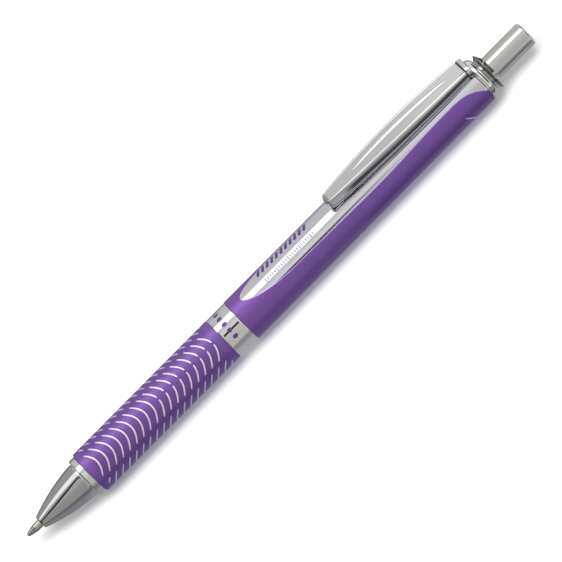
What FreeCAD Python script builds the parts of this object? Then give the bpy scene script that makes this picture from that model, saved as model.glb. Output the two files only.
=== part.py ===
"""Retractable metal gel-ink pen, latched with its writing point out.

Every piece is turned or cut about the X axis, with X = 0 at the tip of the ball.
At export the pieces move into the part frame: the pen lies along X, its point at
-X and its push button at +X, the clip stands straight up, and the underside of the
widest diameter rests on Z = 0. Lengths are millimetres.
"""

import FreeCAD, Part
import math
import os

# ---------------------------------------------------------------- driving dimensions
# Lengths along the pen, tip to button.
point_showing = 3.64          # bare writing point in front of the nose cone
cone_length = 12.06           # nose cone, mouth to groove
cone_groove_width = 0.25      # groove between the cone and its collar
collar_length = 1.55          # stepped collar behind the groove
grip_length = 37.3            # lacquered grip sleeve
band_length = 5.0             # chrome centre band
barrel_length = 66.6          # lacquered upper barrel
washer_length = 0.55          # washer ring of the clip bracket
dome_length = 1.35            # domed collar behind the washer
dome_bulge_along = 0.55       # shares of the dome's length and drop at its roundest point
dome_bulge_out = 0.60
crown_length = 1.65           # flanged crown ring
button_showing = 10.05        # push button behind the crown when latched
seam = 0.05                   # gap left between pieces that meet end to end

# Fits.
press_gap = 0.04              # radial gap of a glued or pressed fit
running_gap = 0.10            # radial gap of a sliding fit
edge_break = 0.12             # chamfer on turned edges
cut_margin = 1.0              # how far a cutting shape runs past what it cuts

# Refill, a standard size that the pen is built round.
ball_radius = 0.35
ball_gap = 0.02
point_lip = 0.20              # start of the metal point behind the ball's tip
point_lip_radius = 0.45
point_cone_length = 1.95
point_radius = 0.86
point_shank_radius = 1.15
point_thin_length = 5.1       # thin part of the point behind its cone
point_shank_length = 7.0
point_shank_chamfer = 0.3
point_channel_radius = 0.20
holder_nose_radius = 1.60
holder_nose_length = 11.5
holder_flange_length = 1.5
holder_plug_length = 6.0
holder_channel_radius = 0.60
holder_seat_play = 0.80       # room left in front of the holder with the button pressed home
tube_radius = 3.00
tube_wall = 0.40
tail_plug_length = 5.2
tail_flange_length = 0.8
tail_stub_play = 0.6          # room between the flange and the cam ribs when retracted
vent_radius = 0.45
follower_length = 6.0
tail_air_length = 13.4        # empty tube between the follower and the tail plug

# Walls and steps of the outer shells, from the refill outwards.
tube_play = 0.31              # round the refill in the grip
spigot_play = 0.20            # round the refill in the threaded spigot
liner_wall = 1.00
grip_wall = 0.60
collar_step = 0.40            # grip radius less collar radius
band_step = 0.12              # grip radius less the band's radius at its edges
band_crown = 0.05             # rise of the band's middle over its edges
barrel_taper = 0.15           # loss of radius over the barrel's length
washer_step = 0.08            # barrel radius less washer radius
spigot_wall = 0.35
bush_wall = 0.40

# Joint between the two halves of the pen.
thread_pitch = 1.0
thread_depth = 0.16
thread_turns = 7
thread_fill = 0.8             # share of the pitch that a ridge fills
thread_lead_in = 7.0          # plain length of the spigot in front of its thread

# Nose cone.
mouth_play = 0.16             # round the writing point
mouth_wall = 0.38
mouth_land = 1.95
nose_bore_play = 0.37         # round the point's shank
cone_mid_radius = 3.15        # half way along the ogive
cone_back_radius = 3.97
groove_depth = 0.22
spring_seat = 6.4             # mouth to the shoulder that the spring rests on
spring_well_length = 4.0
nose_spigot_length = 6.0
nose_spigot_ridges = 4

# Return spring.
spring_wire = 0.38
spring_turns = 9
spring_arcs_a_turn = 6
spring_inside_play = 0.29     # round the holder's nose
spring_outside_play = 0.28    # inside the nose cone's well

# Clicker.
button_radius = 2.73
button_wall = 0.40
button_corner = 0.55
button_out_travel = 4.6       # latched to retracted
button_press_travel = 1.2     # past the latch, to release it
cam_ribs = 4
cam_rib_width = 1.3
cam_rib_play = 0.15           # rib tip to the housing's bore
cam_slot_gap = 0.10           # each side of a rib in its slot
cam_tooth_height = 0.55
crown_teeth = 8
cam_tooth_fill = 0.7          # share of the ring that the teeth fill at their base
cam_rib_root = 0.5            # how deep a rib is rooted in its core
plunger_rib_setback = 0.2
rotor_flange_length = 0.5
rotor_body_length = 2.1
rotor_pin_length = 3.4
rotor_tooth_width = 1.15      # core radius less pin radius
plunger_body_length = 4.1
plunger_shoulder = 1.0        # plunger's core behind its ribs
plunger_stem_length = 13.0
housing_front_length = 10.0   # plain length in front of the housing's ribs
housing_tube_play = 0.50      # round the refill in front of the housing's ribs
housing_rib_play = 0.13       # housing ribs to the button
housing_core_play = 0.36      # housing ribs to the plunger's core
housing_notch_depth = 0.5
housing_notch_width = 1.2
crown_spigot_wall = 0.58
crown_engagement = 3.65       # crown ring's spigot in the back of the housing
crown_neck_wall = 0.49
crown_rim_step = 0.40         # barrel radius less rim radius
crown_rim_behind = 0.86       # front of the flange to its sharp rim
crown_rim_flat = 0.05         # each side of the rim

# Clip.
clip_length = 37.75
clip_tip_top = 3.50           # heights of the outer face above the barrel
clip_mid_top = 3.80
clip_head_top = 2.75
clip_tip_low = 0.85           # heights of the side walls' lower edge above the barrel
clip_mid_low = 1.30
clip_head_low = 0.45
clip_tip_width = 2.9
clip_mid_width = 4.8
clip_head_width = 4.3
clip_wall = 0.45
clip_bevel = 0.42
clip_nose_rise = 1.1          # how far the outer face drops at the very tip
clip_nose_round = 1.15        # length of the rounded tip seen from above
clip_belly_behind_tip = 5.9
clip_belly_radius = 4.5
clip_belly_half_length = 3.15
clip_belly_width = 2.2
clip_contact_gap = 0.05
bracket_overhang = 0.70       # bracket in front of the barrel's end
bracket_gap = 0.10
tongue_length = 2.4
tongue_thickness = 0.6
tongue_gap = 0.12

# ---------------------------------------------------------------- worked-out stations
mouth_x = point_showing
cone_back_x = mouth_x + cone_length
collar_x = cone_back_x + cone_groove_width
grip_x = collar_x + collar_length
band_x = grip_x + grip_length
barrel_x = band_x + band_length
washer_x = barrel_x + barrel_length
dome_x = washer_x + washer_length
crown_x = dome_x + dome_length
button_x = crown_x + crown_length
overall_length = button_x + button_showing

nose_spigot_end_x = grip_x + nose_spigot_length
thread_start_x = band_x + thread_lead_in
thread_end_x = thread_start_x + thread_pitch * thread_turns

housing_end_x = washer_x - seam
crown_spigot_x = housing_end_x - crown_engagement
housing_rib_end_x = crown_spigot_x - seam
guide_end_x = housing_rib_end_x - button_out_travel - running_gap
plunger_end_x = guide_end_x + plunger_shoulder
plunger_x = plunger_end_x - plunger_body_length
plunger_teeth_x = plunger_x - cam_tooth_height
rotor_teeth_x = plunger_teeth_x - seam
rotor_body_end_x = rotor_teeth_x - cam_tooth_height
rotor_rib_x = rotor_body_end_x - rotor_body_length
rotor_x = rotor_rib_x - rotor_flange_length
housing_rib_x = rotor_body_end_x + seam
housing_x = housing_rib_x - housing_front_length
button_front_x = plunger_end_x

seat_x = mouth_x + spring_seat
point_cone_x = point_lip + point_cone_length
point_shank_x = point_cone_x + point_thin_length
point_end_x = point_shank_x + point_shank_length
holder_x = seat_x + button_press_travel + holder_seat_play
holder_flange_x = holder_x + holder_nose_length
tube_x = holder_flange_x + holder_flange_length
tail_stub_length = button_out_travel - rotor_flange_length - rotor_body_length + tail_stub_play
refill_end_x = rotor_x - seam
tube_end_x = refill_end_x - tail_stub_length - tail_flange_length
tail_plug_x = tube_end_x - tail_plug_length
ink_x = tube_x + holder_plug_length
follower_end_x = tail_plug_x - tail_air_length
ink_end_x = follower_end_x - follower_length

# ---------------------------------------------------------------- worked-out radii
tube_bore = tube_radius - tube_wall
liner_bore = tube_radius + tube_play
liner_radius = liner_bore + liner_wall
grip_bore = liner_radius + press_gap
grip_radius = grip_bore + grip_wall
collar_radius = grip_radius - collar_step
band_radius = grip_radius - band_step
barrel_front_radius = grip_radius
barrel_back_radius = barrel_front_radius - barrel_taper
washer_radius = barrel_back_radius - washer_step
dome_radius = barrel_back_radius

spigot_bore = tube_radius + spigot_play
thread_root = spigot_bore + spigot_wall
thread_crest = thread_root + thread_depth
bush_bore = thread_crest + running_gap
bush_radius = bush_bore + bush_wall
barrel_bore = bush_radius + press_gap

mouth_bore = point_radius + mouth_play
mouth_radius = mouth_bore + mouth_wall
nose_bore = point_shank_radius + nose_bore_play
groove_radius = cone_back_radius - groove_depth
spring_radius = holder_nose_radius + spring_inside_play + spring_wire / 2
spring_well_radius = spring_radius + spring_wire / 2 + spring_outside_play

button_bore = button_radius - button_wall
crown_bore = button_radius + running_gap
crown_spigot_radius = crown_bore + crown_spigot_wall
neck_radius = crown_bore + crown_neck_wall
crown_radius = barrel_back_radius - crown_rim_step
housing_bore = crown_spigot_radius + press_gap
housing_rib_radius = button_radius + housing_rib_play
cam_core_radius = housing_rib_radius - housing_core_play
cam_rib_radius = housing_bore - cam_rib_play
rotor_pin_radius = cam_core_radius - rotor_tooth_width
plunger_stem_radius = button_bore - 2 * press_gap
tail_stub_radius = cam_core_radius - 2 * running_gap

clip_end_x = washer_x - bracket_overhang - bracket_gap
clip_tip_x = clip_end_x - clip_length
clip_mid_x = (clip_tip_x + clip_end_x) / 2
clip_belly_x = clip_tip_x + clip_belly_behind_tip
clip_tip_z = barrel_front_radius + clip_tip_top
clip_mid_z = barrel_front_radius + clip_mid_top
clip_head_z = barrel_back_radius + clip_head_top

to_part_frame = FreeCAD.Vector(-overall_length / 2, 0, grip_radius)
axis_x = FreeCAD.Vector(1, 0, 0)
origin = FreeCAD.Vector(0, 0, 0)


# ---------------------------------------------------------------- helpers
def turned(points):
    """Solid of revolution about X from the corners (x, radius) of its half section."""
    corners = [FreeCAD.Vector(x, radius, 0) for x, radius in points]
    wire = Part.makePolygon(corners + [corners[0]])
    return Part.Face(wire).revolve(origin, axis_x, 360)


def turned_edges(edges):
    """Solid of revolution about X from the edges of its half section."""
    return Part.Face(Part.Wire(edges)).revolve(origin, axis_x, 360)


def line(start, end):
    """Straight edge between two (x, radius) corners."""
    return Part.LineSegment(FreeCAD.Vector(*start, 0), FreeCAD.Vector(*end, 0)).toShape()


def arc(start, middle, end):
    """Round edge through three (x, radius) points."""
    points = [FreeCAD.Vector(*point, 0) for point in (start, middle, end)]
    return Part.Arc(*points).toShape()


def polyline(points):
    """Chain of straight edges through (x, radius) corners."""
    return [line(start, end) for start, end in zip(points, points[1:])]


def tube(start, end, bore, radius, front_break=edge_break, back_break=edge_break):
    """Plain tube with chamfered outer edges."""
    return turned([
        (start, bore),
        (start, radius - front_break),
        (start + front_break, radius),
        (end - back_break, radius),
        (end, radius - back_break),
        (end, bore),
    ])


def rod(start, end, radius):
    """Plain solid cylinder about X."""
    return Part.makeCylinder(radius, end - start, FreeCAD.Vector(start, 0, 0), axis_x)


def prism_along_radius(points, inner, outer):
    """Prism whose (x, sideways) outline is pushed out from one radius to another."""
    corners = [FreeCAD.Vector(x, side, inner) for x, side in points]
    wire = Part.makePolygon(corners + [corners[0]])
    return Part.Face(wire).extrude(FreeCAD.Vector(0, 0, outer - inner))


def around_axis(shape, count, first_angle=0):
    """Copies of a shape spaced evenly round the X axis."""
    copies = []
    for number in range(count):
        copy = shape.copy()
        copy.rotate(origin, axis_x, first_angle + 360 * number / count)
        copies.append(copy)
    return copies


def thread_ridges(first_x, count, root, crest):
    """Triangular thread ridges, one a pitch, standing from a root to a crest."""
    ridges = []
    for number in range(count):
        x = first_x + thread_pitch * number
        below = root - thread_depth
        ridges.append(turned([(x, below), (x, root), (x + thread_pitch / 2, crest),
                              (x + thread_fill * thread_pitch, root),
                              (x + thread_fill * thread_pitch, below)]))
    return ridges


def plate_xz(edges, width):
    """Plate with an outline in X and height, centred on the clip's mid plane."""
    face = Part.Face(Part.Wire(edges))
    face.rotate(origin, axis_x, 90)
    face.translate(FreeCAD.Vector(0, width / 2, 0))
    return face.extrude(FreeCAD.Vector(0, -width, 0))


# ---------------------------------------------------------------- front section
def nose_cone():
    """Ogive cone, groove, stepped collar and the spigot that holds it in the grip."""
    cone_middle = mouth_x + cone_length / 2
    spigot = liner_radius
    outside = [
        line((mouth_x, mouth_bore), (mouth_x, mouth_radius)),
        arc((mouth_x, mouth_radius), (cone_middle, cone_mid_radius), (cone_back_x, cone_back_radius)),
    ]
    outside += polyline([
        (cone_back_x, cone_back_radius),
        (cone_back_x, groove_radius),
        (collar_x, groove_radius),
        (collar_x, collar_radius - 2 * edge_break),
        (collar_x + 2 * edge_break, collar_radius),
        (grip_x - seam, collar_radius),
        (grip_x - seam, spigot),
        (nose_spigot_end_x, spigot),
        (nose_spigot_end_x, liner_bore),
        (seat_x + spring_well_length, liner_bore),
        (seat_x + spring_well_length, spring_well_radius),
        (seat_x, spring_well_radius),
        (seat_x, nose_bore),
        (mouth_x + mouth_land + 1.0, nose_bore),
        (mouth_x + mouth_land, mouth_bore),
        (mouth_x, mouth_bore),
    ])
    cone = turned_edges(outside)
    root = spigot - thread_depth / 2
    grooves = []
    for number in range(nose_spigot_ridges):
        x = grip_x + 1.0 + thread_pitch * number
        grooves.append(tube(x, x + thread_pitch / 2, root, spigot + 1.0, 0, 0))
    return cone.cut(grooves)


def grip_sleeve():
    """Lacquered metal tube that the fingers hold."""
    return tube(grip_x, band_x, grip_bore, grip_radius)


def grip_liner():
    """Moulded liner of the grip, with the spigot and male thread of the middle joint."""
    body = turned([
        (nose_spigot_end_x + seam, liner_bore),
        (nose_spigot_end_x + seam, liner_radius),
        (band_x, liner_radius),
        (band_x, thread_root),
        (thread_end_x + thread_pitch, thread_root),
        (thread_end_x + 2 * thread_pitch, thread_root - 2 * thread_depth),
        (thread_end_x + 2 * thread_pitch, spigot_bore),
        (band_x - liner_wall, spigot_bore),
        (band_x - liner_wall, liner_bore),
    ])
    ridges = thread_ridges(thread_start_x, thread_turns, thread_root, thread_crest)
    return body.fuse(ridges)


# ---------------------------------------------------------------- upper section
def centre_band():
    """Chrome ring between the grip and the barrel, gently crowned, on the front of the threaded bush."""
    front, back = band_x + seam, barrel_x - seam
    bore = bush_radius + press_gap / 2
    sides = polyline([(back, band_radius), (back, bore), (front, bore), (front, band_radius)])
    crowned = arc((front, band_radius), ((front + back) / 2, band_radius + band_crown), (back, band_radius))
    return turned_edges(sides + [crowned])


def thread_bush():
    """Brass bush pressed into the barrel, with the female thread of the middle joint."""
    body = tube(band_x + 3 * seam, thread_end_x + 3 * thread_pitch, bush_bore, bush_radius)
    grooves = thread_ridges(thread_start_x, thread_turns, bush_bore, bush_bore + thread_depth)
    return body.cut(grooves)


def barrel():
    """Lacquered metal tube, tapering slightly to the clip end, with a straight bore."""
    return turned([
        (barrel_x, barrel_bore),
        (barrel_x, barrel_front_radius - edge_break),
        (barrel_x + edge_break, barrel_front_radius),
        (washer_x - edge_break, barrel_back_radius),
        (washer_x, barrel_back_radius - edge_break),
        (washer_x, barrel_bore),
    ])


def cam_housing():
    """Moulded sleeve of the clicker: slots guide the ribs, notches hold the rotor."""
    slot_width = cam_rib_width + 2 * cam_slot_gap
    outside = barrel_bore - press_gap
    front_bore = tube_radius + housing_tube_play
    shell = turned([
        (housing_x, front_bore),
        (housing_x, outside - edge_break),
        (housing_x + edge_break, outside),
        (housing_end_x, outside),
        (housing_end_x, housing_bore),
        (housing_rib_x, housing_bore),
        (housing_rib_x, front_bore),
    ])
    ribs = tube(housing_rib_x, housing_rib_end_x, housing_rib_radius, housing_bore + press_gap, 0, 0)
    slot = prism_along_radius([(housing_rib_x - cut_margin, -slot_width / 2),
                               (housing_rib_end_x + cut_margin, -slot_width / 2),
                               (housing_rib_end_x + cut_margin, slot_width / 2),
                               (housing_rib_x - cut_margin, slot_width / 2)],
                              0, housing_bore)
    notch_side = housing_notch_width / 2
    notch = prism_along_radius([(housing_rib_x - cut_margin, -notch_side),
                                (housing_rib_x, -notch_side),
                                (housing_rib_x + housing_notch_depth, notch_side),
                                (housing_rib_x - cut_margin, notch_side)],
                               0, housing_bore)
    cuts = around_axis(slot, cam_ribs) + around_axis(notch, cam_ribs, 180 / cam_ribs)
    return shell.fuse(ribs.cut(cuts))


def clip_outline(inset):
    """Side outline of the clip arm, or of its inside when inset by the wall."""
    tip = clip_tip_x + inset
    end = clip_end_x + inset
    deeper = 3 * inset
    nose = (tip, clip_tip_z - clip_nose_rise - inset)
    nose_top = (tip + clip_nose_rise, clip_tip_z - inset)
    head_top = (end, clip_head_z - inset)
    head_low = (end, barrel_back_radius + clip_head_low - deeper)
    mid_low = (clip_mid_x, barrel_front_radius + clip_mid_low - deeper)
    tip_low = (tip, barrel_front_radius + clip_tip_low - deeper)
    return [
        arc(nose_top, (clip_mid_x, clip_mid_z - inset), head_top),
        line(head_top, head_low),
        arc(head_low, mid_low, tip_low),
        line(tip_low, nose),
        line(nose, nose_top),
    ]


def clip_plan(inset):
    """Leaf shape of the clip seen from above, as a tall block."""
    tip = clip_tip_x + inset
    end = clip_end_x + inset
    tip_half = clip_tip_width / 2 - inset
    mid_half = clip_mid_width / 2 - inset
    head_half = clip_head_width / 2 - inset
    shoulder = tip + clip_nose_round - inset
    edges = [
        arc((shoulder, tip_half), (clip_mid_x, mid_half), (end, head_half)),
        line((end, head_half), (end, -head_half)),
        arc((end, -head_half), (clip_mid_x, -mid_half), (shoulder, -tip_half)),
        arc((shoulder, -tip_half), (tip, 0), (shoulder, tip_half)),
    ]
    return Part.Face(Part.Wire(edges)).extrude(FreeCAD.Vector(0, 0, 2 * clip_mid_z))


def clip_bevels():
    """Two wedges that bevel the long edges of the clip's outer face."""
    stations = [(clip_tip_x - cut_margin, clip_tip_width / 2, clip_tip_z),
                (clip_mid_x, clip_mid_width / 2, clip_mid_z),
                (clip_end_x + cut_margin, clip_head_width / 2, clip_head_z)]
    wedges = []
    for side in (1, -1):
        sections = []
        for x, half_width, top in stations:
            above = top + clip_bevel
            outside = side * (half_width + clip_bevel)
            corners = [FreeCAD.Vector(x, side * (half_width - clip_bevel) - side * clip_bevel / 2, above),
                       FreeCAD.Vector(x, outside, above),
                       FreeCAD.Vector(x, outside, top - 3 * clip_bevel)]
            sections.append(Part.makePolygon(corners + [corners[0]]))
        wedges.append(Part.makeLoft(sections, True, True))
    return wedges


def clip_belly():
    """Rounded rib under the clip's tip that presses on the barrel."""
    share = (clip_belly_x - barrel_x) / barrel_length
    surface = barrel_front_radius - share * barrel_taper
    centre = surface + clip_contact_gap + clip_belly_radius
    half_length = clip_belly_half_length
    corner = FreeCAD.Vector(clip_belly_x - half_length, -clip_belly_width / 2, surface)
    block = Part.makeBox(2 * half_length, clip_belly_width, clip_tip_z - clip_wall / 2 - surface, corner)
    roller = Part.makeCylinder(clip_belly_radius, clip_belly_width,
                               FreeCAD.Vector(clip_belly_x, -clip_belly_width / 2, centre),
                               FreeCAD.Vector(0, 1, 0))
    return block.common(roller)


def clip_arm():
    """Folded channel of the clip, open underneath, with its belly."""
    outer = plate_xz(clip_outline(0), clip_mid_width + 2).common(clip_plan(0))
    inner = plate_xz(clip_outline(clip_wall), clip_mid_width).common(clip_plan(clip_wall))
    return outer.cut([inner] + clip_bevels()).fuse(clip_belly()).removeSplitter()


def clip_ring():
    """Washer ring under the domed collar, with the upright bracket of the clip."""
    washer = tube(washer_x + seam, dome_x, neck_radius + press_gap, washer_radius)
    width = clip_head_width
    front = washer_x - bracket_overhang
    back = dome_x - seam
    bracket = Part.makeBox(back - front, width, clip_head_z - barrel_back_radius,
                           FreeCAD.Vector(front, -width / 2, barrel_back_radius))
    corners = [edge for edge in bracket.Edges
               if edge.BoundBox.ZMin > clip_head_z - seam and edge.BoundBox.XLength > seam]
    bracket = bracket.makeFillet(2 * clip_bevel, corners)
    foot_height = barrel_back_radius - neck_radius - clip_wall
    foot = Part.makeBox(back - washer_x - seam, width, foot_height,
                        FreeCAD.Vector(washer_x + seam, -width / 2, barrel_back_radius - foot_height))
    tongue_top = clip_head_z - clip_wall - tongue_gap
    tongue_half = clip_head_width / 2 - clip_wall - 2 * tongue_gap
    tongue = Part.makeBox(tongue_length + clip_wall, 2 * tongue_half, tongue_thickness,
                          FreeCAD.Vector(front - tongue_length, -tongue_half,
                                         tongue_top - tongue_thickness))
    return washer.fuse([foot, bracket, tongue]).removeSplitter()


def dome_collar():
    """Chrome collar that closes the barrel over the clip's washer."""
    back = crown_x - seam
    bore = neck_radius + press_gap
    shoulder = bore + edge_break
    drop = dome_radius - shoulder
    bulge = (dome_x + dome_bulge_along * dome_length, shoulder + dome_bulge_out * drop)
    edges = [
        line((dome_x, bore), (dome_x, dome_radius)),
        arc((dome_x, dome_radius), bulge, (back, shoulder)),
    ]
    edges += polyline([(back, shoulder), (back, bore), (dome_x, bore)])
    return turned_edges(edges)


def crown_ring():
    """Flanged ring with a sharp rim; its spigot clamps the collar and guides the button."""
    rim_x = crown_x + crown_rim_behind
    return turned([
        (crown_spigot_x, crown_bore),
        (crown_spigot_x, crown_spigot_radius - edge_break),
        (crown_spigot_x + edge_break, crown_spigot_radius),
        (housing_end_x - seam, crown_spigot_radius),
        (housing_end_x - seam, neck_radius),
        (crown_x, neck_radius),
        (rim_x - crown_rim_flat, crown_radius),
        (rim_x + crown_rim_flat, crown_radius),
        (button_x, crown_bore + edge_break),
        (button_x, crown_bore),
    ])


# ---------------------------------------------------------------- clicker
def push_button():
    """Steel tube with a closed end, pressed by the thumb."""
    end = overall_length
    start_corner = (end - button_corner, button_radius)
    end_corner = (end, button_radius - button_corner)
    diagonal = button_corner * (1 - math.sqrt(0.5))
    edges = polyline([(button_front_x, button_bore), (button_front_x, button_radius), start_corner])
    edges.append(arc(start_corner, (end - diagonal, button_radius - diagonal), end_corner))
    edges += polyline([end_corner, (end, 0), (end - button_wall, 0), (end - button_wall, button_bore),
                       (button_front_x, button_bore)])
    return turned_edges(edges)


def crown_tooth(base_x, tip_x):
    """One triangular cam tooth on a ring face."""
    half_width = math.pi * cam_core_radius / crown_teeth * cam_tooth_fill
    return prism_along_radius([(base_x, -half_width), (base_x, half_width), (tip_x, 0)],
                              rotor_pin_radius + 2 * running_gap, cam_core_radius - running_gap)


def cam_rib(start, end, slope):
    """One straight rib of the rotor or plunger, its back face sloped like the notches."""
    half = cam_rib_width / 2
    return prism_along_radius([(start, -half), (end - slope, -half), (end, half), (start, half)],
                              cam_core_radius - cam_rib_root, cam_rib_radius)


def plunger():
    """Moulded thrust cam: its stem is pressed into the button and its teeth turn the rotor."""
    bore = rotor_pin_radius + 1.5 * running_gap
    stem_end = plunger_end_x + plunger_stem_length
    body = turned([
        (plunger_x, bore),
        (plunger_x, cam_core_radius),
        (plunger_end_x, cam_core_radius),
        (plunger_end_x, plunger_stem_radius),
        (stem_end, plunger_stem_radius),
        (stem_end, bore),
    ])
    teeth = around_axis(crown_tooth(plunger_x + seam, plunger_teeth_x), crown_teeth)
    ribs = around_axis(cam_rib(plunger_x + plunger_rib_setback, guide_end_x, 0), cam_ribs)
    return body.fuse(teeth + ribs)


def rotor_cam():
    """Turning cam that rests on the refill; its ribs catch in the housing's notches."""
    body = rod(rotor_x, rotor_body_end_x, cam_core_radius)
    pin = rod(rotor_body_end_x, rotor_body_end_x + rotor_pin_length, rotor_pin_radius)
    half_step = 180 / crown_teeth
    teeth = around_axis(crown_tooth(rotor_body_end_x - seam, rotor_teeth_x), crown_teeth, half_step)
    ribs = around_axis(cam_rib(rotor_rib_x, rotor_body_end_x, housing_notch_depth), cam_ribs)
    return body.fuse([pin] + teeth + ribs)


def return_spring():
    """Coil spring between the nose cone's seat and the refill's flange."""
    first = seat_x + seam + spring_wire / 2
    last = holder_flange_x - seam - spring_wire / 2
    pitch = (last - first) / spring_turns

    def on_coil(turn):
        angle = 2 * math.pi * turn
        return FreeCAD.Vector(first + pitch * turn, spring_radius * math.cos(angle),
                              spring_radius * math.sin(angle))

    arcs = []
    for number in range(spring_turns * spring_arcs_a_turn):
        turns = [(number + part) / spring_arcs_a_turn for part in (0, 0.5, 1)]
        arcs.append(Part.Arc(*[on_coil(turn) for turn in turns]).toShape())
    heading = arcs[0].tangentAt(arcs[0].FirstParameter)
    section = Part.Wire([Part.makeCircle(spring_wire / 2, on_coil(0), heading)])
    return Part.Wire(arcs).makePipeShell([section], True, True)


# ---------------------------------------------------------------- refill
def refill_ball():
    """Writing ball, free to roll in the point."""
    return Part.makeSphere(ball_radius, FreeCAD.Vector(ball_radius, 0, 0))


def refill_point():
    """Metal point with the ball's socket, its ink channel and the shank behind."""
    socket_end = 2 * ball_radius + ball_gap
    socket = ball_radius + ball_gap
    return turned([
        (point_lip, socket),
        (point_lip, point_lip_radius),
        (point_cone_x, point_radius),
        (point_shank_x, point_radius),
        (point_shank_x + point_shank_chamfer, point_shank_radius),
        (point_end_x, point_shank_radius),
        (point_end_x, point_channel_radius),
        (socket_end, point_channel_radius),
        (socket_end, socket),
    ])


def refill_tip_holder():
    """Moulded holder between the metal point and the ink tube."""
    socket = point_shank_radius + press_gap
    plug = tube_bore - press_gap
    return turned([
        (holder_x, socket),
        (holder_x, holder_nose_radius - edge_break),
        (holder_x + edge_break, holder_nose_radius),
        (holder_flange_x, holder_nose_radius),
        (holder_flange_x, tube_radius),
        (tube_x, tube_radius),
        (tube_x, plug),
        (tube_x + holder_plug_length, plug),
        (tube_x + holder_plug_length, holder_channel_radius),
        (point_end_x + seam, holder_channel_radius),
        (point_end_x + seam, socket),
    ])


def refill_tube():
    """Clear ink tube."""
    return tube(tube_x, tube_end_x, tube_bore, tube_radius, 0, 0)


def refill_ink():
    """Column of gel ink."""
    return rod(ink_x, ink_end_x, tube_bore - press_gap / 2)


def refill_follower():
    """Grease plug that follows the ink down the tube."""
    return rod(ink_end_x, ink_end_x + follower_length, tube_bore - press_gap / 2)


def refill_tail_plug():
    """Vented plug that closes the tube; its slim stub takes the rotor's push."""
    plug = tube_bore - press_gap
    return turned([
        (tail_plug_x, vent_radius),
        (tail_plug_x, plug),
        (tube_end_x, plug),
        (tube_end_x, tube_radius),
        (tube_end_x + tail_flange_length, tube_radius),
        (tube_end_x + tail_flange_length, tail_stub_radius),
        (refill_end_x, tail_stub_radius),
        (refill_end_x, vent_radius),
    ])


pieces = [nose_cone, grip_sleeve, grip_liner, centre_band, thread_bush, barrel, cam_housing, clip_arm,
          clip_ring, dome_collar, crown_ring, push_button, plunger, rotor_cam, return_spring,
          refill_ball, refill_point, refill_tip_holder, refill_tube, refill_ink, refill_follower,
          refill_tail_plug]

os.makedirs("parts", exist_ok=True)
for make in pieces:
    shape = make()
    shape.translate(to_part_frame)
    shape.exportStep(f"parts/{make.__name__}.step")
    print(f"{make.__name__:20s} valid {shape.isValid()} solids {len(shape.Solids)} "
          f"volume {shape.Volume:9.3f} x {shape.BoundBox.XMin:7.2f} {shape.BoundBox.XMax:7.2f}")
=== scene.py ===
"""Retractable gel pen: the finished surfaces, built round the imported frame.

The pen lies along X, its point at the low end, its clip on top. Stations are in millimetres from
the tip of the writing ball, radii in millimetres from the pen's axis, and angles round the axis
run from the clip's plane towards the low Y side. The frame says where the tip and the axis are.
"""
import logging
import math
from dataclasses import dataclass, field
from enum import Enum
from typing import Callable, Iterable, Sequence, Union

import bmesh
import bpy
from mathutils import Matrix, Vector


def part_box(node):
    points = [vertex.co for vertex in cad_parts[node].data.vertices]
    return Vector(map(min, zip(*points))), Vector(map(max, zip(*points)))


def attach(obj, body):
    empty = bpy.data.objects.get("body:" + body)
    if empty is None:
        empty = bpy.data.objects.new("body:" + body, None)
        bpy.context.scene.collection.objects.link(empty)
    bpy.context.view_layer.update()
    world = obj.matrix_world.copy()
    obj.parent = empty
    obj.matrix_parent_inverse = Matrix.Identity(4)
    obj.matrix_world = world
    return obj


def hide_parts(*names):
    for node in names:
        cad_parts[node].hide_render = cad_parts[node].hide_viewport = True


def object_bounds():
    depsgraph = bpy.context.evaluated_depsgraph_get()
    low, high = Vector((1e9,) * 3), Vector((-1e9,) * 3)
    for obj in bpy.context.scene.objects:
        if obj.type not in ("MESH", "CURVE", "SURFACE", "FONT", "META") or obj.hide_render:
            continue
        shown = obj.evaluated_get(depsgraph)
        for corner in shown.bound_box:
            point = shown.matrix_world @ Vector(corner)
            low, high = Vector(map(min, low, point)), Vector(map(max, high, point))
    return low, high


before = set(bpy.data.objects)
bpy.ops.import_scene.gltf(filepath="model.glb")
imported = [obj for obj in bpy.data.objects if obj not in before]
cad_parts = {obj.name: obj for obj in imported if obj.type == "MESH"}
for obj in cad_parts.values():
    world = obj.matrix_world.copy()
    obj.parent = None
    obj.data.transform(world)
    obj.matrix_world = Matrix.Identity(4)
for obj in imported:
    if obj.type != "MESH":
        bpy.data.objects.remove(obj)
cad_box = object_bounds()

log = logging.getLogger("pen")

MM = 0.001
SIDES = 144
TINY = 1e-9
SHARP_ANGLE = math.radians(32)
TIP_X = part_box("refill_ball")[0].x
AXIS_Z = (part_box("grip_sleeve")[0].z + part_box("grip_sleeve")[1].z) / 2

Point2 = tuple[float, float]
Colour = tuple[float, float, float]
Feed = Union[float, bpy.types.NodeSocket]


class Body(Enum):
    """Moving bodies of the frame."""

    BARREL = "barrel"
    FRONT = "front"
    CLIP = "clip"
    BUTTON = "button"
    REFILL = "refill"
    BALL = "ball"


class Slot(Enum):
    """Material slots of the record that new pieces use."""

    LACQUER = "lacquer"
    CHROME = "chrome"
    BUTTON_STEEL = "button_steel"
    POINT = "point_metal"
    CARBIDE = "carbide"


# ------------------------------------------------------------------ places
def station(x: float) -> float:
    """Row X, in metres, of a station in millimetres from the tip."""
    return TIP_X + x * MM


def on_surface(x: float, radius: float, angle: float) -> Vector:
    """Point on a round surface.

    Args:
        x: station from the tip, in millimetres.
        radius: distance from the axis, in millimetres.
        angle: angle round the axis from the clip's plane, in radians.

    Returns:
        The point in the row frame, in metres.
    """
    return Vector((station(x), -radius * MM * math.sin(angle), AXIS_Z + radius * MM * math.cos(angle)))


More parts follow.
